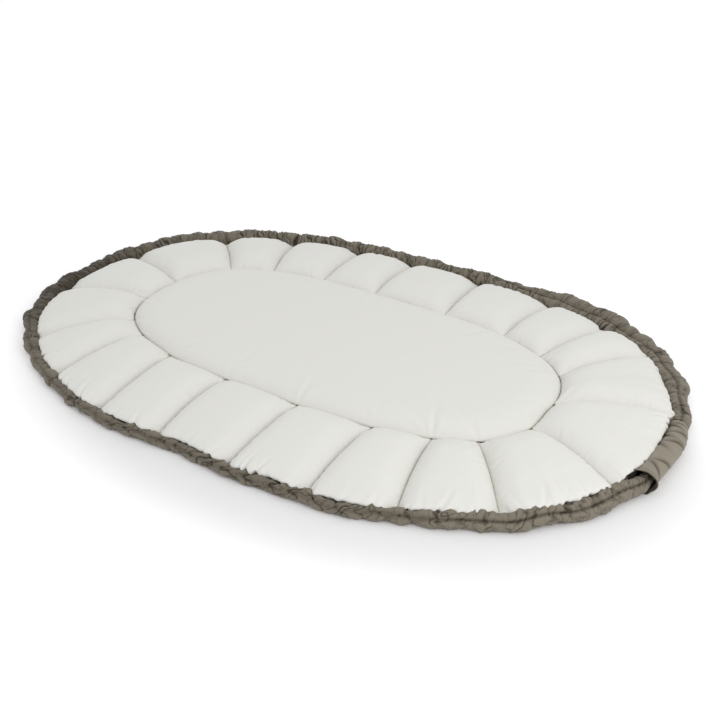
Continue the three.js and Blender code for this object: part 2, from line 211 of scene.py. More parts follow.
# The hand-sewn edge wanders: how many millimetres outside its oval it runs, by direction. At the rim
# it also differs how high the seam stands, how far the stuffing pushes the cotton out over the casing,
# and how full the cotton still is where it meets the seam. At the foot end the corners between chambers
# are drawn out into small tips that lie on the casing.
wander_turns = [0, 12, 21, 30, 45, 62, 100, 190, 214, 228, 240, 250,
                258, 266, 276, 283, 292, 300, 309, 318, 330, 345, 360]
rim_wander = [1.0, -2.5, -8, -1, 3, 2, 1, 1, 0, 4, 9, 6,
              0, -5, 0, 3.5, 0.5, 6, 7, -2, 1, 3, 1.5]
pad_turns = [0, 12, 30, 60, 200, 215, 230, 250, 330, 342, 352, 360]
pad_wander = [-4, -5, -1, 0, 0, 2, 5, 0, 0, 4, 2, -4]
rim_height_turns = [0, 11, 21, 31, 44, 60, 190, 215, 235, 315, 330, 348, 360]
rim_heights = [15.0, 24.0, 14.0, 22.0, 14.0, 13.0, 13.0, 10.0, 7.0, 7.0, 9.5, 18.0, 15.0]
bulge_turns = [0, 8, 14, 30, 60, 180, 212, 235, 318, 340, 356, 360]
rim_bulges = [13, 8, 2, 2, 2, 2, 8, 15, 15, 16, 16, 13]
tip_turns = [0, 11, 21, 31, 42, 58, 190, 325, 335, 348, 360]
corner_tips = [5, 8, 4, 7, 3, 2, 0, 0, 3, 12, 5]
corner_tip_reach = 0.030
soft_turns = [0, 40, 190, 240, 310, 340, 360]
seam_softness = [0.80, 0.84, 0.84, 0.68, 0.68, 0.76, 0.80]
full_turns = [0, 40, 60, 190, 220, 320, 345, 360]
rim_full_shares = [0.26, 0.16, 0.10, 0.12, 0.24, 0.25, 0.25, 0.26]


def by_direction(direction, turns, millimetres):
    return np.interp(np.asarray(direction) % 360, turns, millimetres) / 1000


def oval(direction, half_length, half_width, power):
    x = np.cos(np.radians(direction))
    y = np.sin(np.radians(direction))
    reach = (np.abs(x / half_length) ** power + np.abs(y / half_width) ** power) ** (-1 / power)
    return np.stack([x * reach, y * reach], axis=-1)


def way(direction):
    return np.stack([np.cos(np.radians(direction)), np.sin(np.radians(direction))], axis=-1)


def rim_line(direction):
    place = oval(direction, mat_half_length, mat_half_width, mat_power)
    return place + way(direction) * by_direction(direction, wander_turns, rim_wander)[..., None]


def pad_line(direction):
    place = oval(direction, pad_half_length, pad_half_width, pad_power)
    return place + way(direction) * by_direction(direction, pad_turns, pad_wander)[..., None]


def seam_bow(number, out):
    """How far a radial seam bows to one side between the pad and the rim."""
    start = pad_line(pad_seams[number])
    end = rim_line(rim_seams[number])
    along = (end - start) / np.linalg.norm(end - start)
    sideways = np.array([-along[1], along[0]])
    return np.sin(np.pi * out)[..., None] * sideways * seam_bows[number % chamber_count] / 1000


def rim_direction(number, across):
    return rim_seams[number] + (across + 1) / 2 * (rim_seams[number + 1] - rim_seams[number])


def chamber_place(number, across, out):
    """Where a point of a chamber lies in plan: across from -1 to 1, and out from the pad to the rim."""
    share = (across + 1) / 2
    inner = pad_line(pad_seams[number] + share * (pad_seams[number + 1] - pad_seams[number]))
    outer = rim_line(rim_direction(number, across))
    bow = (1 - share)[..., None] * seam_bow(number, out) + share[..., None] * seam_bow(number + 1, out)
    length = np.linalg.norm(outer - inner, axis=-1, keepdims=True)
    tip = by_direction(rim_direction(number, across), tip_turns, corner_tips) * np.abs(across) ** 10
    drawn_out = tip[..., None] * np.clip(1 - (1 - out)[..., None] * length / corner_tip_reach, 0, 1) ** 1.5
    return inner + (outer - inner) * (out[..., None] + drawn_out / length) + bow


def chamber_bulge(number, across, out):
    """How far the stuffing pushes the cotton beside the rim seam out over the casing."""
    inner = chamber_place(number, across, np.zeros_like(out))
    outer = chamber_place(number, across, np.ones_like(out))
    length = np.linalg.norm(outer - inner, axis=-1, keepdims=True)
    share = np.clip((1 - out)[..., None] * length / bulge_reach, 0, 1)
    push = by_direction(rim_direction(number, across), bulge_turns, rim_bulges) * (1 - np.abs(across) ** 8)
    return (outer - inner) / length * push[..., None] * np.sin(np.pi * share ** 0.62)


def swell(share, power=2.4, roundness=0.62):
    """How far stuffed cloth has risen at a share of the way in from its seam to its crown."""
    return (1 - (1 - np.clip(share, 0, 1)) ** power) ** roundness


def chamber_spans(number, out):
    """A chamber's half width at each row and its length out to the rim."""
    edge = np.ones_like(out)
    across_line = chamber_place(number, edge, out) - chamber_place(number, -edge, out)
    half_width = np.linalg.norm(across_line, axis=-1) / 2
    middle = np.zeros(2)
    length = np.linalg.norm(np.diff(chamber_place(number, middle, np.array([0.0, 1.0])), axis=0))
    return half_width, length


def seam_height(direction, out):
    """How high a radial seam runs between the pad's seam and the rim's."""
    at_rim = by_direction(direction, rim_height_turns, rim_heights)
    return seam_top + (at_rim - seam_top) * out + seam_float * np.sin(np.pi * out)


def chamber_top(number, across, out):
    """The sewn shape that the stuffing fills: low at the seams, crowned between them."""
    half_width, length = chamber_spans(number, out)
    from_pad = out * length
    full = np.interp(rim_direction(number, across) % 360, full_turns, rim_full_shares)
    at_rim = full + (1 - full) * swell((length - from_pad) / rim_end_shoulder)
    at_pad = swell(from_pad / pad_end_shoulder, 2.2, 0.64)
    width_share = np.minimum(1, half_width / full_rise_half_width) ** 0.6
    softness = np.interp(rim_direction(number, across) % 360, soft_turns, seam_softness)
    shoulder = np.minimum(seam_shoulder, half_width)
    by_seam = swell((1 - np.abs(across)) * half_width / shoulder, 2.2, softness)
    broad = np.cos(across * math.pi / 2) ** 0.8
    crown = seam_rise_share * by_seam + (1 - seam_rise_share) * broad
    rise = chamber_rise * width_share * np.minimum(at_pad, 1) * at_rim * crown
    return seam_height(rim_direction(number, across), out) + rise


def at_height(plan, height):
    """Points in space from their places in plan, all at one height or each at its own."""
    return np.concatenate([plan, np.broadcast_to(height, plan.shape[:-1])[..., None]], axis=-1)


def grid_faces(rows, columns, first=0):
    row, column = np.mgrid[0:rows - 1, 0:columns - 1]
    corner = first + row * columns + column
    return np.stack([corner, corner + columns, corner + columns + 1, corner + 1], axis=-1).reshape(-1, 4)


def fine_steps(values, number):
    """The same run of places, with each step cut into a number of equal steps."""
    return np.interp(np.arange((len(values) - 1) * number + 1) / number, np.arange(len(values)), values)


def finer(grid, times):
    """A grid made finer along its first axis, on smooth curves through every point."""
    padded = np.concatenate([2 * grid[:1] - grid[1:2], grid, 2 * grid[-1:] - grid[-2:-1]])
    steps = []
    for step in range(times):
        t = step / times
        before, start, end, after = padded[:-3], padded[1:-2], padded[2:-1], padded[3:]
        squared = (2 * before - 5 * start + 4 * end - after) * t ** 2
        cubed = (3 * start - before - 3 * end + after) * t ** 3
        steps.append(0.5 * (2 * start + (end - before) * t + squared + cubed))
    fine = np.stack(steps, axis=1).reshape(-1, *grid.shape[1:])
    return np.concatenate([fine, grid[-1:]])


def cells_of(number, cell):
    """How many columns and rows of points a chamber takes with cells of a size."""
    widths, length = chamber_spans(number, np.array([1.0]))
    return 2 * round(float(widths[0]) / cell) + 1, round(float(length) / cell) + 1


chamber_grids = []
for number in chambers:
    columns, rows = cells_of(number, chamber_cell)
    rows_out = 1 - (1 - np.linspace(0, 1, rows)) ** 1.22
    across, out = np.meshgrid(np.linspace(-1, 1, columns), rows_out)
    chamber_grids.append((across, out))


# The centre pad: one long oval cushion of the same cotton, stuffed flatter than the chambers.
# Its grid is a rectangle of cotton drawn in to the oval of its seam.
pad_rise = 0.0176
pad_crown = 0.0030
pad_shoulder = 0.054
pad_across, pad_along = np.meshgrid(np.linspace(-1, 1, 121), np.linspace(-1, 1, 63))


def direction_of(place):
    return np.degrees(np.arctan2(place[..., 1], place[..., 0]))


def pad_place(x_share, y_share):
    square = np.maximum(np.abs(x_share), np.abs(y_share))
    rounded = (np.abs(x_share) ** pad_power + np.abs(y_share) ** pad_power) ** (1 / pad_power)
    draw = np.divide(square, rounded, out=np.zeros_like(square), where=rounded > 0)
    place = np.stack([x_share * draw * pad_half_length, y_share * draw * pad_half_width], axis=-1)
    turn = direction_of(place)
    return place + way(turn) * (by_direction(turn, pad_turns, pad_wander) * square ** 2)[..., None]


def pad_top(x_share, y_share):
    square = np.maximum(np.abs(x_share), np.abs(y_share))
    place = pad_place(x_share, y_share)
    reach = np.linalg.norm(place, axis=-1)
    inset = np.divide(reach * (1 - square), square, out=np.full_like(square, 1.0), where=square > 0)
    crown = pad_crown * (1 - square ** 2)
    return seam_top + pad_rise * swell(inset / pad_shoulder, 2.1, 0.66) + crown


# Stuffing the quilt: the cotton top is let go as cloth with air under it, held at every seam.
# It starts from the sewn shape, and what it moves is held to a few millimetres.
stuffing_steps = 24
stuffing_cap = 0.006
cloth_points = []
cloth_faces = []
cloth_held = []
first_points = []
for number, (across, out) in enumerate(chamber_grids):
    plan = chamber_place(number, across, out) + chamber_bulge(number, across, out)
    height = chamber_top(number, across, out)
    first_points.append(sum(len(points) for points in cloth_points))
    cloth_faces.append(grid_faces(*across.shape, first=first_points[-1]))
    cloth_points.append(at_height(plan, height).reshape(-1, 3))
    held = (np.abs(across) > border_share) | (out < 1 - border_share) | (out > border_share)
    cloth_held.append(held.reshape(-1))
first_points.append(sum(len(points) for points in cloth_points))
pad_points = at_height(pad_place(pad_across, pad_along), pad_top(pad_across, pad_along))
cloth_faces.append(grid_faces(*pad_across.shape, first=first_points[-1])[:, ::-1])
cloth_points.append(pad_points.reshape(-1, 3))
cloth_held.append((np.maximum(np.abs(pad_across), np.abs(pad_along)) > border_share).reshape(-1))
cloth_points = np.concatenate(cloth_points)
cloth_faces = np.concatenate(cloth_faces)
cloth_held = np.concatenate(cloth_held)
stuffed_points = cloth_points.copy()

quilt_mesh = bpy.data.meshes.new("quilt_cloth")
quilt_mesh.from_pydata(cloth_points.tolist(), [], cloth_faces.tolist())
quilt = bpy.data.objects.new("quilt_cloth", quilt_mesh)
bpy.context.scene.collection.objects.link(quilt)
sewn = quilt.vertex_groups.new(name="sewn")
sewn.add(np.flatnonzero(cloth_held).tolist(), 1.0, "REPLACE")
sewn.add(np.flatnonzero(~cloth_held).tolist(), 0.3, "REPLACE")
cloth = quilt.modifiers.new("stuffing", "CLOTH")
cloth.settings.quality = 5
cloth.settings.mass = 0.12
cloth.settings.tension_stiffness = 12
cloth.settings.compression_stiffness = 12
cloth.settings.shear_stiffness = 4
cloth.settings.bending_stiffness = 1.2
cloth.settings.tension_damping = 8
cloth.settings.compression_damping = 8
cloth.settings.shear_damping = 8
cloth.settings.air_damping = 4
cloth.settings.vertex_group_mass = "sewn"
cloth.settings.pin_stiffness = 1.0
cloth.settings.shrink_min = -0.012
cloth.settings.use_pressure = True
cloth.settings.uniform_pressure_force = 1.0
cloth.settings.effector_weights.gravity = 0
cloth.collision_settings.use_collision = False
cloth.point_cache.frame_start = 1
cloth.point_cache.frame_end = stuffing_steps
for step in range(1, stuffing_steps + 1):
    bpy.context.scene.frame_set(step)
evaluated = quilt.evaluated_get(bpy.context.evaluated_depsgraph_get())
settled = np.empty(len(cloth_points) * 3, np.float32)
evaluated.data.vertices.foreach_get("co", settled)
moved = settled.reshape(-1, 3).astype(float) - cloth_points
bpy.data.objects.remove(quilt)
bpy.context.scene.frame_set(1)
distance = np.linalg.norm(moved, axis=1, keepdims=True)
capped = moved * stuffing_cap * np.tanh(distance / stuffing_cap) / np.maximum(distance, 1e-9)
stuffed_points = cloth_points + capped


# The two cottons: undyed cream for the quilted top and taupe for the cover below it, both matt and
# closely woven. Their colour is painted darker in their folds and seams, as painted shade.
def noise(tree, place, scale, detail, distortion=0.0):
    return add_node(tree, "ShaderNodeTexNoise", {
        "Vector": place, "Scale": scale, "Detail": detail, "Distortion": distortion}).outputs["Fac"]


def weave_group():
    """A shader group: the height of a plain weave at so many threads a metre, on the cloth's own map."""
    group = bpy.data.node_groups.new("plain_weave", "ShaderNodeTree")
    group.interface.new_socket("Threads", in_out="INPUT", socket_type="NodeSocketFloat")
    group.interface.new_socket("Height", in_out="OUTPUT", socket_type="NodeSocketFloat")
    group.interface.new_socket("Slub", in_out="OUTPUT", socket_type="NodeSocketFloat")
    inside = group.nodes.new("NodeGroupInput")
    outside = group.nodes.new("NodeGroupOutput")
    own_map = add_node(group, "ShaderNodeUVMap", uv_map="cloth")
    scaled = add_node(group, "ShaderNodeVectorMath", {
        0: own_map.outputs[0], "Scale": inside.outputs["Threads"]}, operation="SCALE")
    parts = add_node(group, "ShaderNodeSeparateXYZ", {0: scaled.outputs[0]})
    waves = []
    for axis in ("X", "Y"):
        turn = add_node(group, "ShaderNodeMath", {0: parts.outputs[axis], 1: math.pi}, operation="MULTIPLY")
        waves.append(add_node(group, "ShaderNodeMath", {0: turn.outputs[0]}, operation="SINE").outputs[0])
    crossed = add_node(group, "ShaderNodeMath", {0: waves[0], 1: waves[1]}, operation="MULTIPLY")
    stretched = add_node(group, "ShaderNodeMapping", {"Vector": scaled.outputs[0], "Scale": (0.25, 1, 1)})
    slub = noise(group, stretched.outputs[0], scale=0.11, detail=3)
    height = add_node(group, "ShaderNodeMath", {0: crossed.outputs[0], 1: 0.5, 2: slub},
                      operation="MULTIPLY_ADD")
    set_inputs(group, outside, {"Height": height.outputs[0], "Slub": slub})
    return group


def two_tones(tree, shader, colour, other_colour, share):
    """The shader's colour goes from one to the other by a share that changes over the surface."""
    shade = add_node(tree, "ShaderNodeMix", {
        "A": (*colour, 1), "B": (*other_colour, 1), "Factor": share}, data_type="RGBA")
    set_inputs(tree, shader, {"Base Color": shade.outputs["Result"]})


def bump(tree, height, strength, distance, **below):
    """The surface's normals over bumps of a height, on top of other bumps where those are given."""
    return add_node(tree, "ShaderNodeBump", {
        "Height": height, "Strength": strength, "Distance": distance, **below}).outputs["Normal"]


plain_weave = weave_group()


def cloth_material(name, colour, fold_shade_colour, threads, weave_height, crease_height, roughness, sheen):
    """Woven cloth: its colour is painted darker in the folds as painted shade, and its bumps are the weave
    and fine creases.
    """
    material, tree, shader = new_material(name)
    weave = add_node(tree, "ShaderNodeGroup", {}, node_tree=plain_weave)
    set_inputs(tree, weave, {"Threads": threads})
    place = add_node(tree, "ShaderNodeTexCoord").outputs["Object"]
    fold = add_node(tree, "ShaderNodeAttribute", attribute_name="fold")
    # Painted shade: the colour goes to the shade colour where the fold attribute is high, with a little
    # random tone from the slubs.
    slub_and_fold_shade = add_node(tree, "ShaderNodeMath", {
        0: weave.outputs["Slub"], 1: 0.10, 2: fold.outputs["Fac"]}, operation="MULTIPLY_ADD")
    two_tones(tree, shader, colour, fold_shade_colour, slub_and_fold_shade.outputs[0])
    fine = bump(tree, weave.outputs["Height"], strength=0.5, distance=weave_height)
    rumples = noise(tree, place, scale=38, detail=5, distortion=0.6)
    rumpled = bump(tree, rumples, strength=0.6, distance=crease_height, Normal=fine)
    set_inputs(tree, shader, {
        "Roughness": roughness,
        "Sheen Weight": sheen,
        "Sheen Roughness": 0.5,
        "Specular IOR Level": 0.25,
        "Normal": rumpled,
    })
    return material


# Each cotton's second colour is the painted shade in its folds and seams.
cream_cotton = cloth_material(
    "cream_cotton", colour=(0.780, 0.776, 0.740), fold_shade_colour=(0.69, 0.67, 0.605), threads=1800,
    weave_height=0.00010, crease_height=0.00016, roughness=0.92, sheen=0.12)
taupe_cotton = cloth_material(
    "taupe_cotton", colour=(0.277, 0.242, 0.188), fold_shade_colour=(0.046, 0.037, 0.024), threads=1500,
    weave_height=0.00014, crease_height=0.0006, roughness=0.85, sheen=0.18)


def smooth_piece(name, points, quads, triangles, material):
    """A piece in one material from its points and faces, shaded smooth."""
    mesh = bpy.data.meshes.new(name)
    mesh.from_pydata(points.tolist(), [], quads.tolist() + triangles.tolist())
    mesh.update()
    mesh.polygons.foreach_set("use_smooth", np.ones(len(mesh.polygons), bool))
    mesh.materials.append(material)
    piece = bpy.data.objects.new(name, mesh)
    bpy.context.scene.collection.objects.link(piece)
    return piece


def cloth_piece(name, points, quads, triangles, cloth_map, fold, material):
    """A finished piece of sewn cloth, with its map in metres and its share of painted fold shade on every
    point.
    """
    piece = smooth_piece(name, points, quads, triangles, material)
    mesh = piece.data
    corners = np.empty(len(mesh.loops), np.int32)
    mesh.loops.foreach_get("vertex_index", corners)
    layer = mesh.uv_layers.new(name="cloth")
    layer.data.foreach_set("uv", cloth_map[corners].astype(np.float32).reshape(-1))
    # The fold attribute is how much painted shade each point gets.
    mesh.attributes.new("fold", "FLOAT", "POINT").data.foreach_set("value", fold.astype(np.float32))
    return piece


def taupe_below(pad, top_faces):
    """Inside its seams a cushion shows the cover's taupe cloth: everything below its top, which the callers
    paint fully dark as painted shade.
    """
    pad.data.materials.append(taupe_cotton)
    cloths = np.ones(len(pad.data.polygons), np.int32)
    cloths[:top_faces] = 0
    pad.data.polygons.foreach_set("material_index", cloths)


# Pleats and creases: where the cotton is sewn to the gathered cover it is drawn up into small pleats,
# and short sharp creases run in from every seam, each with its own place, slant, length and depth.
pleat_count = 300
highest_pleat = 0.0034
pleat_dice = np.random.default_rng(7)
pleat_breaks = np.concatenate([[0], np.cumsum(pleat_dice.uniform(0.006, 0.024, pleat_count))])
pleat_heights = pleat_dice.uniform(0.0, 1.0, pleat_count) ** 2.6 * highest_pleat
pleat_lengths = pleat_dice.uniform(0.008, 0.030, pleat_count)


def rim_pleats(along_rim, from_rim):
    number = np.clip(np.searchsorted(pleat_breaks, along_rim, side="right") - 1, 0, pleat_count - 1)
    across = (along_rim - pleat_breaks[number]) / (pleat_breaks[number + 1] - pleat_breaks[number])
    ridge = np.sin(np.pi * np.clip(across, 0, 1)) ** 0.8 - 0.45
    return pleat_heights[number] * ridge * np.exp(-(from_rim / pleat_lengths[number]) ** 1.4)


def creases_table(length, nearest, farthest, longest, deepest):
    """Random creases along a seam: place, slant, length and depth of each."""
    places = np.cumsum(pleat_dice.uniform(nearest, farthest, int(length / nearest) + 1))
    places = places[places < length]
    slants = pleat_dice.uniform(-0.7, 0.7, len(places))
    lengths = longest * pleat_dice.uniform(0.35, 1.0, len(places))
    depths = deepest * pleat_dice.uniform(0.15, 1.0, len(places)) ** 1.5
    return list(zip(places, slants, lengths, depths))


def crease_section(beside):
    """Across a crease: its valley and the low ridge beside it."""
    return np.exp(-beside ** 1.5) - 0.45 * np.exp(-(beside - 1.9) ** 2)


def creases(table, along_seam, from_seam, width=0.0026):
    total = np.zeros(np.broadcast(along_seam, from_seam).shape)
    for place, slant, length, depth in table:
        beside = np.abs(along_seam - place - slant * from_seam) / width
        total -= depth * np.clip(1 - from_seam / length, 0, 1) ** 0.7 * crease_section(beside)
    return total


def tack_creases_table(turns, inwards, spread, longest, deepest):
    """Creases that run out from the tacks at the pad's corners: start, way, length and depth of each."""
    table = []
    for turn in turns:
        start = pad_line(turn)
        for _ in range(int(pleat_dice.integers(3, 6))):
            slant = math.radians(turn + (180 if inwards else 0) + pleat_dice.uniform(-spread, spread))
            run = longest * pleat_dice.uniform(0.35, 1.0)
            table.append((start, slant, run, deepest * pleat_dice.uniform(0.3, 1.0)))
    return table


def tack_creases(table, plan):
    total = np.zeros(plan.shape[:-1])
    for start, slant, run, depth in table:
        away = plan - start
        ahead = away[..., 0] * math.cos(slant) + away[..., 1] * math.sin(slant)
        aside = away[..., 1] * math.cos(slant) - away[..., 0] * math.sin(slant)
        beside = np.abs(aside) / (0.0020 + 0.07 * np.maximum(ahead, 0))
        fade = np.clip(1 - ahead / run, 0, 1) * np.clip(ahead / 0.004, 0, 1)
        total -= depth * fade * crease_section(beside)
    return total


def smoothed_normals(grid):
    rows = np.gradient(grid, axis=0)
    columns = np.gradient(grid, axis=1)
    normal = np.cross(rows, columns)
    return normal / np.maximum(np.linalg.norm(normal, axis=-1, keepdims=True), 1e-12)


def relaxed(grid, times):
    """A grid with its small waves smoothed out and its border left where it is."""
    grid = grid.copy()
    for _ in range(times):
        around = grid[:-2, 1:-1] + grid[2:, 1:-1] + grid[1:-1, :-2] + grid[1:-1, 2:]
        grid[1:-1, 1:-1] = 0.4 * grid[1:-1, 1:-1] + 0.15 * around
    return grid


def stuffed_top(number, shape, smoothings, finer_rows, finer_columns):
    """A cushion's stuffed top, smoothed and made finer."""
    first = first_points[number]
    coarse = relaxed(stuffed_points[first:first + shape[0] * shape[1]].reshape(*shape, 3), smoothings)
    return finer(finer(coarse, finer_rows).transpose(1, 0, 2), finer_columns).transpose(1, 0, 2)


def border_of(rows, columns):
    """The rows and the columns of the points on a grid's border, once round it."""
    border = [(0, column) for column in range(columns)]
    border += [(row, columns - 1) for row in range(1, rows)]
    border += [(rows - 1, column) for column in range(columns - 2, -1, -1)]
    border += [(row, 0) for row in range(rows - 2, 0, -1)]
    return np.array(border).T


def closed_cushion(top, under_edge, under_inner, middle):
    """A cushion's points and faces: its top, two rings down from its border, and its underside."""
    rows, columns = top.shape[:2]
    border_rows, border_columns = border_of(rows, columns)
    top_ring = border_rows * columns + border_columns
    ring = np.arange(len(top_ring))
    after = np.roll(ring, -1)
    edge_ring = rows * columns + ring
    inner_ring = edge_ring + len(ring)
    points = np.concatenate([top.reshape(-1, 3), under_edge, under_inner, middle])
    quads = np.concatenate([
        grid_faces(rows, columns),
        np.stack([top_ring, edge_ring, edge_ring[after], top_ring[after]], axis=1)[:, ::-1],
        np.stack([edge_ring, inner_ring, inner_ring[after], edge_ring[after]], axis=1)[:, ::-1],
    ])
    last_point = np.full(len(ring), len(points) - 1)
    triangles = np.stack([inner_ring, last_point, inner_ring[after]], axis=1)[:, ::-1]
    return points, quads, triangles


def travelled(line):
    """How far along a line each of its points lies."""
    return np.concatenate([[0], np.cumsum(np.linalg.norm(np.diff(line, axis=0), axis=1))])


def seam_painted_shade(across, out, half_width, length):
    """How much painted shade a point gets in the fold beside a seam: 1 at the seam and 0 out on the crown.
    """
    to_seam = np.minimum((1 - np.abs(across)) * half_width, out * length)
    return np.exp(-to_seam / seam_shade_width)


rim_lengths = []
for number in chambers:
    line = rim_line(np.linspace(rim_seams[number], rim_seams[number + 1], 200))
    rim_lengths.append(float(travelled(line)[-1]))
rim_starts = np.concatenate([[0], np.cumsum(rim_lengths)])

fine_across = 4
fine_out = 3
# How far the painted shade reaches out from a seam.
seam_shade_width = 0.0009
under_inset = 0.014
under_rim_inset = 0.002
for number in chambers:
    across, out = chamber_grids[number]
    top = stuffed_top(number, across.shape, smoothings=2, finer_rows=fine_out, finer_columns=fine_across)
    fine_u = fine_steps(across[0], fine_across)
    fine_v = fine_steps(out[:, 0], fine_out)
    across, out = np.meshgrid(fine_u, fine_v)
    rows, columns = across.shape
    half_width, length = chamber_spans(number, fine_v)
    half_width = half_width[:, None]

    along_rim = (across + 1) / 2 * rim_lengths[number]
    from_rim = (1 - out) * length
    pleats = rim_pleats(rim_starts[number] + along_rim, from_rim)
    rim_table = creases_table(
        rim_lengths[number], nearest=0.006, farthest=0.024, longest=0.030, deepest=0.0034)
    pleats += creases(rim_table, along_rim, from_rim, width=0.0032)
    inner_table = creases_table(
        2 * half_width[0, 0], nearest=0.016, farthest=0.050, longest=0.028, deepest=0.0016)
    pleats += creases(inner_table, (across + 1) * half_width, out * length)
    for side in (-1, 1):
        from_seam = (1 + side * across) * half_width
        side_table = creases_table(length, nearest=0.008, farthest=0.026, longest=0.020, deepest=0.0026)
        pleats += creases(side_table, out * length, from_seam)
    tack_table = tack_creases_table(
        pad_seams[number:number + 2], inwards=False, spread=70, longest=0.055, deepest=0.0024)
    pleats += tack_creases(tack_table, chamber_place(number, across, out))
    top = top + smoothed_normals(top) * (pleats * (1 - np.abs(across) ** 8))[..., None]

    # Every point stays on its own side of the seams, so neighbours only touch
    inset_share = 1 - seam_inset / half_width
    edge = np.abs(across) > border_share
    top[..., :2] = np.where(edge[..., None], chamber_place(number, across * inset_share, out), top[..., :2])
    plan_left = chamber_place(number, -inset_share * np.ones_like(across), out)
    plan_right = chamber_place(number, inset_share * np.ones_like(across), out)
    over = plan_right - plan_left
    over = over / np.linalg.norm(over, axis=-1, keepdims=True)
    from_left = ((top[..., :2] - plan_left) * over).sum(-1)
    from_right = ((plan_right - top[..., :2]) * over).sum(-1)
    top[..., :2] += over * (np.maximum(-from_left, 0) - np.maximum(-from_right, 0))[..., None]

    border_rows, border_columns = border_of(rows, columns)
    border_across = across[border_rows, border_columns]
    border_out = out[border_rows, border_columns]
    border_width = half_width[border_rows, 0]
    at_seam = np.clip(1 - (1 - np.abs(border_across)) * border_width / under_inset, 0, 1)
    at_pad = np.clip(1 - border_out * length / under_inset, 0, 1)
    edge_height = pad_base + (seam_bottom - pad_base) * np.maximum(at_seam, at_pad)
    under_across = border_across * (1 - under_inset / border_width)
    under_out = under_inset / length + border_out * (1 - (under_inset + under_rim_inset) / length)
    points, quads, triangles = closed_cushion(
        top,
        at_height(top[border_rows, border_columns, :2], edge_height),
        at_height(chamber_place(number, under_across, under_out), pad_base),
        at_height(chamber_place(number, np.zeros(1), np.full(1, 0.5)), pad_base),
    )
    # Painted shade: the cotton is painted darker close to its seams, and fully dark on the cushion's sides
    # and underside.
    depth = seam_painted_shade(across, out, half_width, length).reshape(-1)
    fold = np.concatenate([depth, np.ones(len(points) - len(depth))])
    pad = cloth_piece(f"stuffed_chamber_{number + 1:02d}", points, quads, triangles, points[:, :2], fold,
                      cream_cotton)
    taupe_below(pad, (rows - 1) * (columns - 1))
    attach(pad, f"chamber_{number + 1:02d}")
    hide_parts(f"chamber_pad_{number + 1:02d}")


# The centre pad's cushion: the same cream cotton over kapok, sewn to the chambers all round its oval.
# It is one padded piece, closed below, where it lies on the underside's cloth.
pad_inset_share = 1 - seam_inset / pad_half_width
pad_shade_width = 0.0012
pad_finer = 2


def gap_to_edge(place, square):
    """How far inside the pad's oval a place lies, from its share of the way out to it."""
    return np.linalg.norm(place, axis=-1) * (1 / np.maximum(square, 0.05) - 1)


top = stuffed_top(
    chamber_count, pad_across.shape, smoothings=3, finer_rows=pad_finer, finer_columns=pad_finer)
across, along = np.meshgrid(fine_steps(pad_across[0], pad_finer), fine_steps(pad_along[:, 0], pad_finer))
rows, columns = across.shape
square = np.maximum(np.abs(across), np.abs(along))
on_edge = square > border_share
sewn_place = pad_place(across, along) * pad_inset_share
tack_table = tack_creases_table(
    pad_seams[:chamber_count], inwards=True, spread=65, longest=0.110, deepest=0.0018)
top[..., 2] += tack_creases(tack_table, sewn_place) * (1 - square ** 40)
top[..., :2] = np.where(on_edge[..., None], sewn_place, top[..., :2])
pad_edge = pad_line(direction_of(top))
too_far = np.linalg.norm(top[..., :2], axis=-1) / np.linalg.norm(pad_edge, axis=-1)
top[..., :2] /= np.maximum(too_far / pad_inset_share, 1)[..., None]
border_rows, border_columns = border_of(rows, columns)
edge = top[border_rows, border_columns, :2]
inwards = edge * (1 - under_inset / np.linalg.norm(edge, axis=1, keepdims=True))
points, quads, triangles = closed_cushion(
    top, at_height(edge, seam_bottom), at_height(inwards, pad_base), [[0, 0, pad_base]])
# Painted shade: the pad is painted darker close to its seam, and fully dark on its sides and underside.
depth = np.exp(-gap_to_edge(top[..., :2], square) / pad_shade_width).reshape(-1)
fold = np.concatenate([depth, np.ones(len(points) - len(depth))])
centre_pad = cloth_piece("centre_pad_cushion", points, quads[:, ::-1], triangles[:, ::-1],
                         points[:, :2], fold, cream_cotton)
taupe_below(centre_pad, (rows - 1) * (columns - 1))
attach(centre_pad, "centre")
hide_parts("centre_top_cover", "centre_filling")


# The outer cover's underside: a taupe cotton panel under each chamber and the centre pad, quilted
# through to the top along the same seams. It is flat where the lounger rests on the floor.
panel_thickness = 0.0011
panel_tuck = 0.010
panel_cell = 0.006
panel_clearance = 0.0003
panel_lift = seam_bottom - 0.0020
panel_lift_reach = 0.016
panel_lift_power = 1.6
panel_wrinkle = 0.0006
panel_shade_width = 0.0022


def closed_sheet(upper, lower):
    """Points and faces of a thin closed sheet from two grids of one size, with its rim closed."""
    rows, columns = upper.shape[:2]
    below = rows * columns
    border_rows, border_columns = border_of(rows, columns)
    ring = border_rows * columns + border_columns
    after = np.roll(ring, -1)
    quads = np.concatenate([
        grid_faces(rows, columns),
        grid_faces(rows, columns, first=below)[:, ::-1],
        np.stack([ring, after, after + below, ring + below], axis=1),
    ])
    return np.concatenate([upper.reshape(-1, 3), lower.reshape(-1, 3)]), quads


def floor_creases(place):
    """Shallow wrinkles where the underside has been lain on, in metres."""
    x = place[..., 0]
    y = place[..., 1]
    waves = np.sin(61 * x + 37 * y + 1.3) + np.sin(-43 * x + 83 * y + 0.4) + np.sin(121 * x - 54 * y + 2.2)
    return panel_wrinkle * np.abs(waves / 3)


def panel_points(place, near_seam, near_pad=0.0):
    """A panel lies on the floor, wrinkled, and lifts where it is sewn to a seam."""
    lifted = panel_lift * np.maximum(near_seam, near_pad) ** panel_lift_power
    return at_height(place, panel_clearance + lifted + floor_creases(place) * (1 - near_seam))


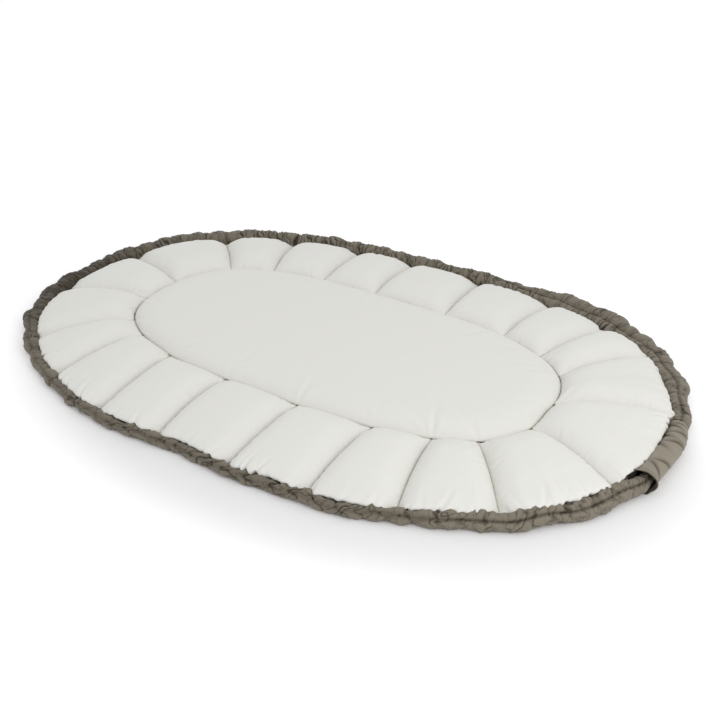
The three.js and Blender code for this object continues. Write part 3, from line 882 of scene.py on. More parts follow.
no_triangles = np.empty((0, 3), int)
for number in chambers:
    columns, rows = cells_of(number, panel_cell)
    _, length = chamber_spans(number, np.array([1.0]))
    across, out = np.meshgrid(np.linspace(-1, 1, columns), np.linspace(0, 1 + panel_tuck / length, rows))
    half_width, length = chamber_spans(number, out[:, 0])
    half_width = half_width[:, None]
    place = chamber_place(number, across * (1 - seam_inset / half_width), out)
    near_seam = np.clip(1 - (1 - np.abs(across)) * half_width / panel_lift_reach, 0, 1)
    near_pad = np.clip(1 - out * length / panel_lift_reach, 0, 1)
    lower = panel_points(place, near_seam, near_pad)
    points, quads = closed_sheet(lower + [0, 0, panel_thickness], lower)
    # Painted shade: each panel is painted darker close to its seams.
    fold = np.tile(seam_painted_shade(across, np.clip(out, 0, 1), half_width, length).reshape(-1), 2)
    panel = cloth_piece(f"underside_panel_{number + 1:02d}", points, quads, no_triangles, points[:, :2],
                        fold, taupe_cotton)
    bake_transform(panel)
    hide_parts(f"outer_cover_{number + 1:02d}")

across, along = np.meshgrid(np.linspace(-1, 1, 101), np.linspace(-1, 1, 53))
square = np.maximum(np.abs(across), np.abs(along))
place = pad_place(across, along) * pad_inset_share
edge_gap = gap_to_edge(place, square)
lower = panel_points(place, np.clip(1 - edge_gap / panel_lift_reach, 0, 1))[:, ::-1]
points, quads = closed_sheet(lower + [0, 0, panel_thickness], lower)
# Painted shade: the centre panel is painted darker close to its seam.
fold = np.tile(np.exp(-edge_gap / panel_shade_width)[:, ::-1].reshape(-1), 2)
centre_panel = cloth_piece("underside_panel_centre", points, quads, no_triangles, points[:, :2],
                           fold, taupe_cotton)
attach(centre_panel, "centre")
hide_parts("centre_underside")


# The rim casing: the cover's edge turned over into a long tunnel, gathered tight on its drawstring.
# The gathered tunnel lies on a smoother roll of the same cloth, and the two part at a stitched crease.
layer_gap = 0.0003
casing_table = [
    # direction, radius in mm, how far its two rolls part as a share, the tunnel's side, twist in mm
    (0, 12.4, 0.6, 150, 4), (11, 12.8, 0.7, 155, 4), (21, 15.8, 1.1, 168, 4), (32, 16.2, 1.3, 180, 4),
    (44, 18.5, 1.6, 196, 3), (58, 18.5, 1.5, 196, 3), (68, 17.0, 0.9, 180, 4), (80, 16.2, 0.4, 150, 5),
    (95, 15.4, 0.3, 140, 5), (120, 16.4, 0.3, 140, 5), (150, 17.2, 0.4, 150, 4), (175, 16.6, 0.5, 160, 4),
    (192, 15.6, 0.6, 160, 5), (204, 12.6, 0.6, 155, 7), (214, 9.8, 0.5, 140, 10), (235, 8.0, 0.5, 120, 14),
    (262, 7.7, 0.6, 115, 14), (285, 7.8, 0.5, 115, 14), (305, 8.0, 0.5, 115, 12), (318, 9.0, 0.6, 112, 9),
    (326, 11.4, 0.9, 112, 6), (340, 12.0, 1.0, 118, 5), (352, 12.4, 0.9, 135, 5), (360, 12.4, 0.6, 150, 4),
]
casing_turns, casing_radii, split_shares, tunnel_sides, casing_twists = np.array(casing_table).T
cloth_turns = [0, 30, 60, 155, 190, 220, 320, 345, 360]
crumple_shares = [0.75, 0.8, 0.65, 0.60, 0.55, 0.9, 0.9, 0.8, 0.75]
long_shares = [0.75, 0.8, 0.65, 0.75, 0.8, 2.0, 2.0, 1.1, 0.8]
rib_shares = [1.0, 1.15, 1.5, 1.45, 1.4, 0.40, 0.40, 0.8, 1.0]
swelling_shares = [0.075, 0.075, 0.080, 0.065, 0.055, 0.16, 0.15, 0.08, 0.075]
# How much painted shade the whole casing gets by direction, most at the head end, under the painted shade of
# its folds.
gathered_painted_shades = [0.20, 0.25, 0.32, 0.34, 0.90, 0.26, 0.22, 0.22, 0.20]
casing_sides = 56
casing_step = 0.0011
casing_map_radius = 0.014
floor_clearance = 0.0004
sway_reach = 0.0016
heave_reach = 0.0013
tunnel_offset_share = 0.40
tunnel_slimmer_share = 0.30
roll_offset_share = -0.26
roll_slimmer_share = 0.20
lobes_soft = 0.0008
tunnel_edge = 0.0012
crease_half_width = 0.0016
crease_drawn_in = 0.0013
fine_rib = 0.0046
fine_rib_on_roll = 0.0020
broad_rib = 0.0052
long_rib = 0.0050
crumple = 0.00022
usual_reach = 0.0150
first_gather = -0.05
gather_dice = np.random.default_rng(21)


def waves_table(count, shortest, longest):
    """Random long and short waves along the rim that stay whole round the casing."""
    lengths = gather_dice.uniform(shortest, longest, count)
    turns = gather_dice.integers(-2, 3, count)
    phases = gather_dice.uniform(0, 2 * math.pi, count)
    return lengths, turns, phases


def wave_sum(table, along, turn):
    lengths, turns, phases = table
    total = np.zeros(np.broadcast(along, turn).shape)
    for length, times, phase in zip(lengths, turns, phases):
        total = total + np.sin(2 * math.pi * along / length + times * turn + phase)
    return total / math.sqrt(len(lengths))


def gathers_table(count, narrowest, widest):
    """Random gathers: where each begins, how high it stands, and which way round it is fullest."""
    widths = gather_dice.uniform(narrowest, widest, count)
    breaks = np.concatenate([[first_gather], first_gather + np.cumsum(widths)])
    heights = gather_dice.uniform(0.35, 1.0, count)
    fullest = gather_dice.uniform(0, 2 * math.pi, count)
    return breaks, heights, fullest


def gathers(table, along, turn):
    """How far the gathers stand, and how close to the sharp fold between two of them a point is."""
    breaks, heights, fullest = table
    number = np.clip(np.searchsorted(breaks, along, side="right") - 1, 0, len(heights) - 1)
    across = np.clip((along - breaks[number]) / (breaks[number + 1] - breaks[number]), 0, 1)
    height = heights[number] * (0.72 + 0.28 * np.cos(turn - fullest[number]))
    rounded = np.sin(np.pi * across)
    return height * (rounded ** 0.70 - 0.70), height * (1 - rounded) ** 3


drift = waves_table(6, shortest=0.014, longest=0.050)
swellings = waves_table(7, shortest=0.018, longest=0.090)
sway = waves_table(4, shortest=0.050, longest=0.160)
heave = waves_table(4, shortest=0.050, longest=0.160)
small_creases = waves_table(9, shortest=0.004, longest=0.011)
narrow_gathers = gathers_table(480, narrowest=0.0050, widest=0.0120)
wide_gathers = gathers_table(260, narrowest=0.0100, widest=0.0240)
long_folds = gathers_table(160, narrowest=0.0180, widest=0.0420)


def casing_lobes(direction):
    """The two rolls that make up the casing's section: each one's place from the middle and its radius."""
    radius = by_direction(direction, casing_turns, casing_radii)
    split = np.interp(direction % 360, casing_turns, split_shares)
    side = np.radians(np.interp(direction % 360, casing_turns, tunnel_sides))
    apart = radius * split
    parted = np.minimum(split, 1)

    def lobe(offset_share, slimmer_share):
        offset = offset_share * apart
        return offset * np.cos(side), offset * np.sin(side), radius * (1 - slimmer_share * parted)

    tunnel = lobe(tunnel_offset_share, tunnel_slimmer_share)
    roll = lobe(roll_offset_share, roll_slimmer_share)
    return tunnel, roll, parted, side


def lobe_reach(way_out, way_up, place_out, place_up, radius):
    towards = way_out * place_out + way_up * place_up
    beyond = radius ** 2 - place_out ** 2 - place_up ** 2 + towards ** 2
    return towards + np.sqrt(np.maximum(beyond, 1e-12))


def casing_section(along, direction, turn, gathered=1.0, shrink=1.0):
    """How far the casing's cloth stands from its middle, all round, and how much painted shade it gets."""
    tunnel, roll, split, side = casing_lobes(direction)
    crumpled, folded, ribbed, swollen, shade = (
        np.interp(direction % 360, cloth_turns, shares)
        for shares in (crumple_shares, long_shares, rib_shares, swelling_shares, gathered_painted_shades))
    size = shrink * (1 + swollen * wave_sum(swellings, along, turn * 0))
    way_out = np.cos(turn)
    way_up = np.sin(turn)
    reach_tunnel = size * lobe_reach(way_out, way_up, *tunnel)
    reach_roll = size * lobe_reach(way_out, way_up, *roll)
    top = np.maximum(reach_tunnel, reach_roll)
    both = np.exp((reach_tunnel - top) / lobes_soft) + np.exp((reach_roll - top) / lobes_soft)
    reach = top + lobes_soft * np.log(both)
    on_tunnel = 1 / (1 + np.exp(-(reach_tunnel - reach_roll) / tunnel_edge))
    crease = np.exp(-((reach_tunnel - reach_roll) / crease_half_width) ** 2)
    crease = crease * np.clip(split * 1.6 - 0.3, 0, 1)

    twist = by_direction(direction, casing_turns, casing_twists)
    slanted = along + 0.0050 * wave_sum(drift, along, turn) + twist * np.sin(turn - side)
    crossed = along + 0.0060 * wave_sum(drift, along + 0.7, turn * 2) - twist * np.sin(turn - side + 0.9)
    fine, fine_fold = gathers(narrow_gathers, slanted, turn)
    coarse, coarse_fold = gathers(wide_gathers, crossed + 0.3, turn + 1)
    long, long_fold = gathers(long_folds, slanted + 0.6 + 0.8 * twist * np.sin(2 * turn), turn + 2)
    small = wave_sum(small_creases, along + 0.002 * wave_sum(drift, along, turn + 2), turn)
    strength = np.clip(top / usual_reach, 0.72, 1.15)
    broad = broad_rib * crumpled * coarse + long_rib * folded * long
    ribs = ribbed * fine
    on_roll = (1 - on_tunnel) * (fine_rib_on_roll * ribs + 0.85 * broad)
    stand = (on_tunnel * (fine_rib * ribs + broad) + on_roll) * strength
    reach = reach + gathered * (stand + crumple * small) - crease_drawn_in * crease * split
    # Painted shade: darker in the sharp folds between gathers and in the crease, lighter on the ribs, and
    # darker all over by direction.
    hollow = 0.85 * ((0.3 + 0.7 * on_tunnel) * ribbed * fine_fold + crumpled * coarse_fold + 0.8 * long_fold)
    hollow = np.clip(hollow - 0.7 * (ribs + crumpled * coarse + 0.5 * folded * long), 0, 1)
    hollow = np.clip(hollow * gathered + 0.7 * crease, 0, 1)
    return reach, shade + (1 - shade) * hollow


def tube_faces(stations, sides, first=0):
    station, side = np.mgrid[0:stations - 1, 0:sides]
    next_side = (side + 1) % sides
    here = first + station * sides
    return np.stack([here + side, here + sides + side, here + sides + next_side, here + next_side],
                    axis=-1).reshape(-1, 4)


def end_triangles(stations, sides, first=0):
    """The triangles that close a tube at both ends, to the two points that follow its last ring."""
    side = np.arange(sides)
    after = (side + 1) % sides
    last = first + (stations - 1) * sides
    end_point = np.full(sides, first + stations * sides)
    return np.concatenate([
        np.stack([first + side, first + after, end_point], axis=1),
        np.stack([last + after, last + side, end_point + 1], axis=1),
    ])


upright = np.array([0, 0, 1.0])


def round_turns(sides):
    return np.linspace(0, 2 * math.pi, sides, endpoint=False)[None, :]


def round_sections(middle, sideways, upwards, reach, turn):
    """Rings of points round a line, each as far from the line as its reach."""
    towards = np.cos(turn)[..., None] * sideways + np.sin(turn)[..., None] * upwards
    return middle[:, None, :] + reach[..., None] * towards


def tube_map(along, turn, radius):
    """A closed tube's cloth map: along it and round it in metres, and nothing at its two ends."""
    round_it = np.broadcast_to(turn * radius, (len(along), turn.shape[1]))
    along_it = np.broadcast_to(along[:, None], round_it.shape)
    return np.concatenate([np.stack([along_it, round_it], axis=-1).reshape(-1, 2), np.zeros((2, 2))])


def casing_run(name, along, direction, middle, outwards, body, gathered=1.0, shrink=1.0):
    """One length of casing, closed at both ends."""
    turn = round_turns(casing_sides)
    reach, depth = casing_section(along[:, None], direction[:, None], turn,
                                  np.broadcast_to(gathered, along.shape)[:, None],
                                  np.broadcast_to(shrink, along.shape)[:, None])
    ring = round_sections(middle, outwards[:, None], upright, reach, turn)
    ring[..., 2] = np.maximum(ring[..., 2], floor_clearance)
    points = np.concatenate([ring.reshape(-1, 3), [ring[0].mean(0), ring[-1].mean(0)]])
    # The casing's painted fold shade, and some painted shade on its two end points.
    fold = np.concatenate([depth.reshape(-1), [0.6, 0.6]])
    piece = cloth_piece(name, points, tube_faces(len(along), casing_sides),
                        end_triangles(len(along), casing_sides),
                        tube_map(along, turn, casing_map_radius), fold, taupe_cotton)
    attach(piece, body)
    return piece


def rim_station(direction):
    """The casing's middle line beside the rim, and the way outwards from the rim there."""
    step = 0.05
    place = rim_line(direction)
    ahead = rim_line(direction + step)
    behind = rim_line(direction - step)
    forward = (ahead - behind) / np.linalg.norm(ahead - behind, axis=-1, keepdims=True)
    outwards = np.stack([forward[..., 1], -forward[..., 0], np.zeros(len(direction))], axis=-1)
    tunnel, roll, _, _ = casing_lobes(direction)
    inwards = np.maximum(tunnel[2] - tunnel[0], roll[2] - roll[0])
    below = np.maximum(tunnel[2] - tunnel[1], roll[2] - roll[1])
    along = np.interp(direction, fine_turns, fine_rim)
    sideways = sway_reach * wave_sum(sway, along, 0.0)
    heaved = heave_reach * np.maximum(wave_sum(heave, along, 0.0), -0.4)
    middle = at_height(place, 0.0) + outwards * (layer_gap + inwards * 0.94 + sideways)[:, None]
    middle[:, 2] = floor_clearance + below * 0.96 + heaved
    return along, middle, outwards


fine_turns = np.linspace(rim_seams[0], rim_seams[-1], 4001)
fine_line = rim_line(fine_turns)
fine_rim = travelled(fine_line)
cased_chambers = [number for number in chambers if number != closure_chamber]
for number in cased_chambers:
    stations = round(rim_lengths[number] / casing_step)
    places = np.linspace(rim_starts[number], rim_starts[number + 1], stations + 1)
    direction = np.interp(places, fine_rim, fine_turns)
    along, middle, outwards = rim_station(direction)
    casing = casing_run(f"rim_casing_{number + 1:02d}", along, direction, middle, outwards,
                        f"chamber_{number + 1:02d}")
    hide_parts(f"outer_cover_{number + 1:02d}")


# At the foot end the casing stops short on both sides of the cord lock. One end narrows and slips
# into the sleeve's mouth, and the other is sewn to the sleeve's far end.
foot_way = np.array([1.0, 0.0, 0.0])
sleeve_x = 0.5138
sleeve_z = 0.0162
lock_z = 0.0178
sleeve_mouth = -0.062
sleeve_sewn_end = 0.084
cord_spacing = 0.0064
end_steps = 34
first_cord_x = sleeve_x - cord_spacing / 2
second_cord_x = sleeve_x + cord_spacing / 2
closure_start = rim_seams[closure_chamber]
closure_end = rim_seams[closure_chamber + 1]
before_and_start = np.array([closure_start - 3.0, closure_start])
along, middle, outwards = rim_station(before_and_start)
neck_and_tip = np.array([[sleeve_x - 0.002, -0.074, sleeve_z - 0.004], [second_cord_x, -0.044, sleeve_z]])
beyond_tip = neck_and_tip[1:] + [0, 0.02, 0]
route = np.concatenate([middle, neck_and_tip, beyond_tip])
radii = np.array([0.0125, 0.0120, 0.0092, 0.0080, 0.0080])[:, None]
route = finer(route, end_steps)[end_steps:3 * end_steps + 1]
radii = finer(radii, end_steps)[end_steps:3 * end_steps + 1, 0]
forward = np.gradient(route, axis=0)
forward[:, 2] = 0
forward /= np.linalg.norm(forward, axis=1, keepdims=True)
outwards = np.stack([forward[:, 1], -forward[:, 0], np.zeros(len(route))], axis=1)
travel = travelled(route)
along = np.interp(closure_start, fine_turns, fine_rim) + travel
direction = np.full(len(route), float(closure_start))
usual = by_direction(closure_start, casing_turns, casing_radii)
first_end = casing_run("rim_casing_10_mouth_end", along, direction, route, outwards, "chamber_10",
                       gathered=np.interp(travel, [0, 0.04, 0.07], [1.0, 0.8, 0.5]), shrink=radii / usual)
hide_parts("outer_cover_10")

turns = np.linspace(360, closure_end, 200)
_, middle, _ = rim_station(turns)
sewn_turn = float(np.interp(sleeve_sewn_end, middle[:, 1], turns))
sewn_places = np.linspace(np.interp(sewn_turn, fine_turns, fine_rim), rim_starts[closure_chamber + 1], 14)
direction = np.interp(sewn_places, fine_rim, fine_turns)
along, middle, outwards = rim_station(direction)
second_end = casing_run("rim_casing_10_sewn_end", along, direction, middle, outwards, "chamber_10")
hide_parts("outer_cover_10")
sewn_middle = middle[0]
sewn_radius = float(by_direction(sewn_turn, casing_turns, casing_radii))


# The closure sleeve: a short wide tube of the taupe cotton that hides the cord lock. It is sewn to
# the casing at one end, has soft cross folds where it has been pushed up, and is open at its mouth.
sleeve_radius = 0.0155
sleeve_wall = 0.0012
sleeve_straight_end = 0.010
hem_length = 0.008
hem_lip = 0.0009
hem_inner_lip = 0.0006
sleeve_sides = 96
sleeve_folds = [
    # place along Y, slant, the side it is on, depth, width, how far round it spreads
    (-0.048, 0.009, 1.0, 0.0011, 0.0030, 0.5),
    (-0.026, -0.010, 0.6, 0.0012, 0.0032, 0.6),
    (0.010, 0.012, 2.4, 0.0010, 0.0036, 0.5),
    (0.024, -0.008, 0.9, 0.0021, 0.0034, 0.7),
    (0.037, 0.007, 2.6, 0.0019, 0.0030, 0.8),
    (0.052, -0.006, 0.8, 0.0022, 0.0032, 0.9),
    (0.066, 0.005, 2.0, 0.0018, 0.0028, 1.0),
    (0.076, -0.003, 1.2, 0.0014, 0.0024, 1.2),
]


def sleeve_middle(place):
    """The sleeve's middle and radius at a place along Y: straight over the lock, then bending in."""
    bend = np.clip((place - sleeve_straight_end) / (sleeve_sewn_end - sleeve_straight_end), 0, 1) ** 2
    x = sleeve_x + (sewn_middle[0] - sleeve_x) * bend
    z = sleeve_z + (sewn_middle[2] - sleeve_z) * bend
    radius = sleeve_radius + (sewn_radius + sleeve_wall - sleeve_radius) * bend
    return np.stack([x, place, z], axis=-1), radius


def sleeve_reach(place, turn):
    """How far the sleeve's cloth stands from its middle, and how much painted shade it gets in a cross fold.
    """
    _, radius = sleeve_middle(place[:, 0])
    reach = radius[:, None] * (1 + 0.020 * np.cos(2 * (turn - 0.4)) + 0.012 * np.sin(place / 0.021 + turn))
    depth = np.zeros_like(reach)
    for fold_place, slant, side, fold_depth, width, spread in sleeve_folds:
        to_fold = (place - fold_place - slant * np.sin(turn - side)) / width
        here = np.exp(-((1 - np.cos(turn - side)) / spread) ** 1.2)
        valley = np.exp(-np.abs(to_fold) ** 1.5)
        ridge = np.exp(-(np.abs(to_fold) - 2.1) ** 2)
        reach = reach + fold_depth * here * (0.40 * ridge - valley)
        depth = depth + here * valley
    return reach, np.clip(depth, 0, 1) * 0.8


def tube_walls(middle, outer_reach, inner_reach, turn, lean=0.0):
    """The outer and the inner face of a tube of cloth, both clear of the floor."""
    walls = []
    for reach, lowest in ((outer_reach, floor_clearance), (inner_reach, floor_clearance + sleeve_wall)):
        wall = round_sections(middle, foot_way, upright, reach, turn)
        wall[..., 1] += lean
        wall[..., 2] = np.maximum(wall[..., 2], lowest)
        walls.append(wall)
    return walls


def open_tube(name, outer, inner, outer_fold, inner_fold, map_scale, body):
    """A tube of cloth with its wall closed over at both ends."""
    stations, sides = outer.shape[:2]
    below = stations * sides
    ring = np.arange(sides)
    after = (ring + 1) % sides
    last = (stations - 1) * sides
    quads = np.concatenate([
        tube_faces(stations, sides),
        tube_faces(stations, sides, first=below)[:, ::-1],
        np.stack([ring, ring + below, after + below, after], axis=1)[:, ::-1],
        np.stack([ring + last, after + last, after + last + below, ring + last + below], axis=1)[:, ::-1],
    ])
    points = np.concatenate([outer.reshape(-1, 3), inner.reshape(-1, 3)])
    round_map = np.broadcast_to(np.arange(sides) * map_scale, (stations, sides))
    cloth_map = np.stack([np.tile(outer[..., 1].reshape(-1), 2), np.tile(round_map.reshape(-1), 2)], axis=1)
    fold = np.concatenate([outer_fold.reshape(-1), inner_fold.reshape(-1)])
    piece = cloth_piece(name, points, quads, no_triangles, cloth_map, fold, taupe_cotton)
    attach(piece, body)
    return piece


turn = round_turns(sleeve_sides)
sleeve_end = sleeve_sewn_end - layer_gap
places = np.linspace(sleeve_mouth, sleeve_end, 134)
middle, _ = sleeve_middle(places)
reach, depth = sleeve_reach(places[:, None], turn)
outer, inner = tube_walls(middle, reach, reach - sleeve_wall, turn)
sleeve_map = 2 * math.pi * sleeve_radius / sleeve_sides
# Painted shade: the sleeve is painted darker in its cross folds, and its inside is painted fully dark.
sleeve = open_tube("closure_sleeve_cloth", outer, inner, depth, np.ones_like(depth), sleeve_map,
                   "chamber_10")
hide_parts("closure_sleeve")
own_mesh(sleeve)


# The sleeve's hem: the same cloth turned in twice at the mouth, which makes a thick and wavy lip that
# goes along when the sleeve is pushed back.
shares = np.linspace(0, 1, 14)
lip = np.sin(np.pi * shares) ** 0.5
places = sleeve_mouth - layer_gap - hem_length * (1 - shares)
middle, _ = sleeve_middle(places)
reach, _ = sleeve_reach(np.full((len(places), 1), sleeve_mouth), turn)
wave = 0.0028 + 0.0012 * np.sin(3 * turn + 0.6) + 0.0006 * np.sin(5 * turn + 2)
flare = (1 - shares)[:, None] * wave
lean = (1 - shares)[:, None] * (0.0010 * np.sin(2 * turn + 1) + 0.0007 * np.sin(5 * turn))
outer, inner = tube_walls(middle, reach + flare + hem_lip * lip[:, None],
                          reach + flare - sleeve_wall - hem_inner_lip * lip[:, None], turn, lean)
# Painted shade: the hem's outside is painted a little darker, and its inside fully dark.
hem = open_tube("closure_sleeve_hem", outer, inner, np.full(flare.shape, 0.25), np.ones(flare.shape),
                sleeve_map, "hem")
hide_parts("sleeve_hem")


# The drawstring: a twisted cotton cord, 4 mm thick, that runs right round inside the casing. Its two
# tails come out of the casing's ends under the sleeve and pass side by side through the cord lock.
cord_radius = 0.0020
cord_pitch = 0.0085
lock_y = -0.005
lock_reach = 0.011
cord_tail = 0.024


def cord_material():
    material, tree, shader = new_material("taupe_cord")
    own_map = add_node(tree, "ShaderNodeUVMap", uv_map="cloth")
    drawn_out = add_node(tree, "ShaderNodeMapping", {
        "Vector": own_map.outputs[0], "Scale": (900, 2600, 1), "Rotation": (0, 0, 0.5)})
    fibres = noise(tree, drawn_out.outputs[0], scale=1, detail=4)
    two_tones(tree, shader, (0.17, 0.145, 0.112), (0.33, 0.29, 0.235), fibres)
    set_inputs(tree, shader, {
        "Roughness": 0.85,
        "Sheen Weight": 0.2,
        "Normal": bump(tree, fibres, strength=0.7, distance=0.0002),
    })
    return material


taupe_cord = cord_material()


def resampled(line, travel, places):
    """A line's points at other distances along it."""
    return np.stack([np.interp(places, travel, line[:, axis]) for axis in range(3)], axis=1)


def ways_round(run):
    """The level way across each step of a run, and the way up from the two."""
    forward = run / np.linalg.norm(run, axis=1, keepdims=True)
    sideways = np.cross(forward, upright)
    sideways /= np.linalg.norm(sideways, axis=1, keepdims=True)
    return sideways, np.cross(sideways, forward)


def cord_piece(name, routes, body, sides, step):
    """Twisted cord along each route: three strands laid round each other, closed at the ends."""
    turn = round_turns(sides)
    points = []
    quads = []
    triangles = []
    cloth_maps = []
    first = 0
    for route in routes:
        travel = travelled(route)
        stations = max(4, round(travel[-1] / step))
        places = np.linspace(0, travel[-1], stations)
        line = resampled(route, travel, places)
        sideways, upwards = ways_round(np.gradient(line, axis=0))
        twist = turn - 2 * math.pi * places[:, None] / cord_pitch
        reach = cord_radius * (0.90 + 0.10 * np.abs(np.cos(1.5 * twist)))
        ring = round_sections(line, sideways[:, None], upwards[:, None], reach, turn)
        points += [ring.reshape(-1, 3), line[:1], line[-1:]]
        quads.append(tube_faces(stations, sides, first=first))
        triangles.append(end_triangles(stations, sides, first=first))
        cloth_maps.append(tube_map(places, turn, cord_radius))
        first += stations * sides + 2
    points = np.concatenate(points)
    piece = cloth_piece(name, points, np.concatenate(quads), np.concatenate(triangles),
                        np.concatenate(cloth_maps), np.zeros(len(points)), taupe_cord)
    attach(piece, body)
    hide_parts("drawstring")


for number in cased_chambers:
    turns = np.linspace(rim_seams[number], rim_seams[number + 1], 60)
    cord_piece(f"drawstring_{number + 1:02d}", [rim_station(turns)[1]], f"chamber_{number + 1:02d}",
               sides=10, step=0.004)

turns = np.linspace(sewn_turn, closure_end, 12)
sewn_side = np.concatenate([
    [[first_cord_x, lock_y - cord_tail, lock_z], [first_cord_x, lock_y - lock_reach, lock_z],
     [first_cord_x, lock_y + lock_reach, lock_z], [first_cord_x, 0.030, lock_z - 0.001],
     [first_cord_x - 0.003, 0.055, lock_z - 0.003]],
    rim_station(turns)[1],
])
mouth_side = np.concatenate([
    rim_station(np.array([float(closure_start)]))[1],
    neck_and_tip,
    [[second_cord_x, lock_y - lock_reach, lock_z], [second_cord_x, lock_y + lock_reach, lock_z],
     [second_cord_x, lock_y + cord_tail, lock_z]],
])
cord_piece("drawstring_10_tails", [finer(sewn_side, 4), mouth_side], "chamber_10",
           sides=24, step=0.0007)


# The stitching: the inner oval is sewn with a brown thread, the radial seams with a cream one, and each
# inner seam end is held by a short bar tack through all layers. The casing's crease and the hem are
# sewn with a taupe one. Every stitch lies in the cloth between two needle holes.
def thread_material(name, colour, dark_colour):
    material, tree, shader = new_material(name)
    place = add_node(tree, "ShaderNodeTexCoord").outputs["Object"]
    plies = noise(tree, place, scale=2400, detail=2)
    two_tones(tree, shader, dark_colour, colour, plies)
    set_inputs(tree, shader, {
        "Roughness": 0.7,
        "Sheen Weight": 0.15,
        "Normal": bump(tree, plies, strength=0.5, distance=0.0001),
    })
    return material


brown_thread = thread_material(
    "brown_thread", colour=(0.33, 0.28, 0.20), dark_colour=(0.18, 0.148, 0.10))
taupe_thread = thread_material(
    "taupe_thread", colour=(0.15, 0.125, 0.092), dark_colour=(0.085, 0.070, 0.050))
cream_thread = thread_material(
    "cream_thread", colour=(0.72, 0.70, 0.62), dark_colour=(0.52, 0.50, 0.43))
stitch_shares = np.array([0.0, 0.10, 0.37, 0.63, 0.90, 1.0])
stitch_sides = 6
stitch_lift = 0.0001
quilt_pitch = 0.0042
quilt_stitch = 0.0033
cover_pitch = 0.0040
casing_stitch = 0.0028
casing_stitches_in = 0.003
hem_stitch = 0.0030
hem_stitches_in = 0.0015
tack_lift = 0.0004
tack_spacing = 0.0007
tack_over_pad = 0.0020
tack_over_chambers = 0.0024


def stitching(name, starts, ends, radius, arch, material, slot, body):
    """Many stitches in one piece: each a short closed thread that rises from its holes in a low arch."""
    sideways, upwards = ways_round(ends - starts)
    share = stitch_shares[None, :, None]
    line = starts[:, None] + (ends - starts)[:, None] * share
    line = line + upwards[:, None] * (4 * arch * share * (1 - share))
    turn = round_turns(stitch_sides)[None, ..., None]
    ring = line[:, 1:-1, None] + radius * (
        np.cos(turn) * sideways[:, None, None] + np.sin(turn) * upwards[:, None, None])
    count, stations = ring.shape[:2]
    points = np.concatenate([ring.reshape(count, -1, 3), line[:, :1], line[:, -1:]], axis=1)
    offsets = np.arange(count)[:, None, None] * points.shape[1]
    quads = (tube_faces(stations, stitch_sides)[None] + offsets).reshape(-1, 4)
    triangles = (end_triangles(stations, stitch_sides)[None] + offsets).reshape(-1, 3)
    piece = smooth_piece(name, points.reshape(-1, 3), quads, triangles, material)
    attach(piece, body)


def stitches_along(line, pitch, stitch_length):
    """Where the stitches along a line start and end."""
    travel = travelled(line)
    count = int(travel[-1] / pitch)
    starts = (np.arange(count) + 0.5) * travel[-1] / count - stitch_length / 2
    return [resampled(line, travel, spots) for spots in (starts, starts + stitch_length)]


pad_turn = np.linspace(0, 360, 1441)
inner_seam = at_height(pad_line(pad_turn), seam_top + stitch_lift)
stitching("inner_seam_stitches", *stitches_along(inner_seam, quilt_pitch, quilt_stitch),
          radius=0.00042, arch=0.0003, material=brown_thread, slot="taupe_cotton", body="centre")

tack_starts = []
tack_ends = []
for number in chambers:
    tack = at_height(pad_line(pad_seams[number]), seam_top + tack_lift)
    outwards = at_height(way(pad_seams[number]), 0)
    sideways = np.array([-outwards[1], outwards[0], 0])
    for step in range(-2, 3):
        tack_starts.append(tack + sideways * step * tack_spacing - outwards * tack_over_pad)
        tack_ends.append(tack + sideways * (step + 0.4) * tack_spacing + outwards * tack_over_chambers)
stitching("seam_end_tacks", np.array(tack_starts), np.array(tack_ends),
          radius=0.00032, arch=0.0003, material=brown_thread, slot="taupe_cotton", body="centre")

for number in chambers:
    out = np.linspace(0.03, 0.97, 160)
    edge = chamber_place(number, np.full_like(out, -1.0), out)
    radial_seam = at_height(edge, seam_height(rim_seams[number], out) + stitch_lift)
    stitching(f"radial_seam_stitches_{number + 1:02d}",
              *stitches_along(radial_seam, quilt_pitch, quilt_stitch), radius=0.00035, arch=0.0002,
              material=cream_thread, slot="cream_cotton", body=f"chamber_{number + 1:02d}")

for number in cased_chambers:
    places = np.linspace(rim_starts[number] + casing_stitches_in,
                         rim_starts[number + 1] - casing_stitches_in, 300)
    direction = np.interp(places, fine_rim, fine_turns)
    along, middle, outwards = rim_station(direction)
    crease_turn = casing_lobes(direction)[3] - math.pi / 2
    reach, _ = casing_section(along, direction, crease_turn)
    crease_line = middle + outwards * (reach * np.cos(crease_turn))[:, None]
    crease_line[:, 2] += reach * np.sin(crease_turn)
    stitching(f"casing_stitches_{number + 1:02d}",
              *stitches_along(crease_line, cover_pitch, casing_stitch), radius=0.00040, arch=0.0004,
              material=taupe_thread, slot="taupe_cotton", body=f"chamber_{number + 1:02d}")

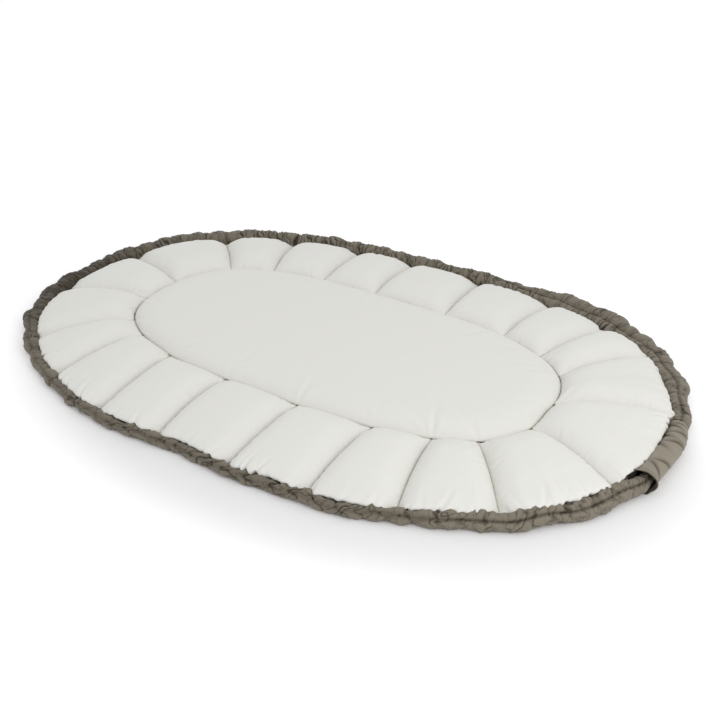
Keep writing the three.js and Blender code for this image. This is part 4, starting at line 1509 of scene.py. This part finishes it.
hem_turn = np.linspace(0, 2 * math.pi, 400)[None, :]
hem_middle, _ = sleeve_middle(np.array([sleeve_mouth - layer_gap - hem_stitches_in]))
hem_reach, _ = sleeve_reach(np.array([[sleeve_mouth]]), hem_turn)
hem_line = round_sections(hem_middle, foot_way, upright, hem_reach + hem_lip, hem_turn)[0]
hem_line[:, 2] = np.maximum(hem_line[:, 2], 2 * floor_clearance)
stitching("hem_stitches", *stitches_along(hem_line, cover_pitch, hem_stitch),
          radius=0.00038, arch=0.0002, material=taupe_thread, slot="taupe_cotton", body="hem")


# The cord lock: a moulded cup of dark plastic with a push-in plunger, and a small cap crimped on each
# cord end. A steel spring between cup and plunger keeps the lock shut on the two cords.
def lock_material(name, colour, rubbed_colour, metallic, roughness, grain, bump_height):
    material, tree, shader = new_material(name)
    place = add_node(tree, "ShaderNodeTexCoord").outputs["Object"]
    surface = noise(tree, place, scale=grain, detail=4)
    rubbed = noise(tree, place, scale=160, detail=3)
    two_tones(tree, shader, colour, rubbed_colour, rubbed)
    gloss = add_node(tree, "ShaderNodeMapRange", {
        "Value": rubbed, "To Min": roughness - 0.08, "To Max": roughness + 0.12})
    set_inputs(tree, shader, {
        "Metallic": metallic,
        "Roughness": gloss.outputs["Result"],
        "Normal": bump(tree, surface, strength=0.35, distance=bump_height),
    })
    return material


lock_plastic = lock_material(
    "lock_plastic", colour=(0.050, 0.044, 0.036), rubbed_colour=(0.085, 0.077, 0.066),
    metallic=0.0, roughness=0.45, grain=3500, bump_height=0.00005)
spring_steel = lock_material(
    "spring_steel", colour=(0.56, 0.56, 0.55), rubbed_colour=(0.68, 0.68, 0.67),
    metallic=1.0, roughness=0.28, grain=1800, bump_height=0.00002)
for node_name in ("cord_lock_cup", "cord_lock_plunger", "cord_end_cap_1", "cord_end_cap_2"):
    for material_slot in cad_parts[node_name].material_slots:
        material_slot.material = lock_plastic
cord_lock_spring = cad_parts["cord_lock_spring"]
for material_slot in cord_lock_spring.material_slots:
    material_slot.material = spring_steel
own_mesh(cord_lock_spring)
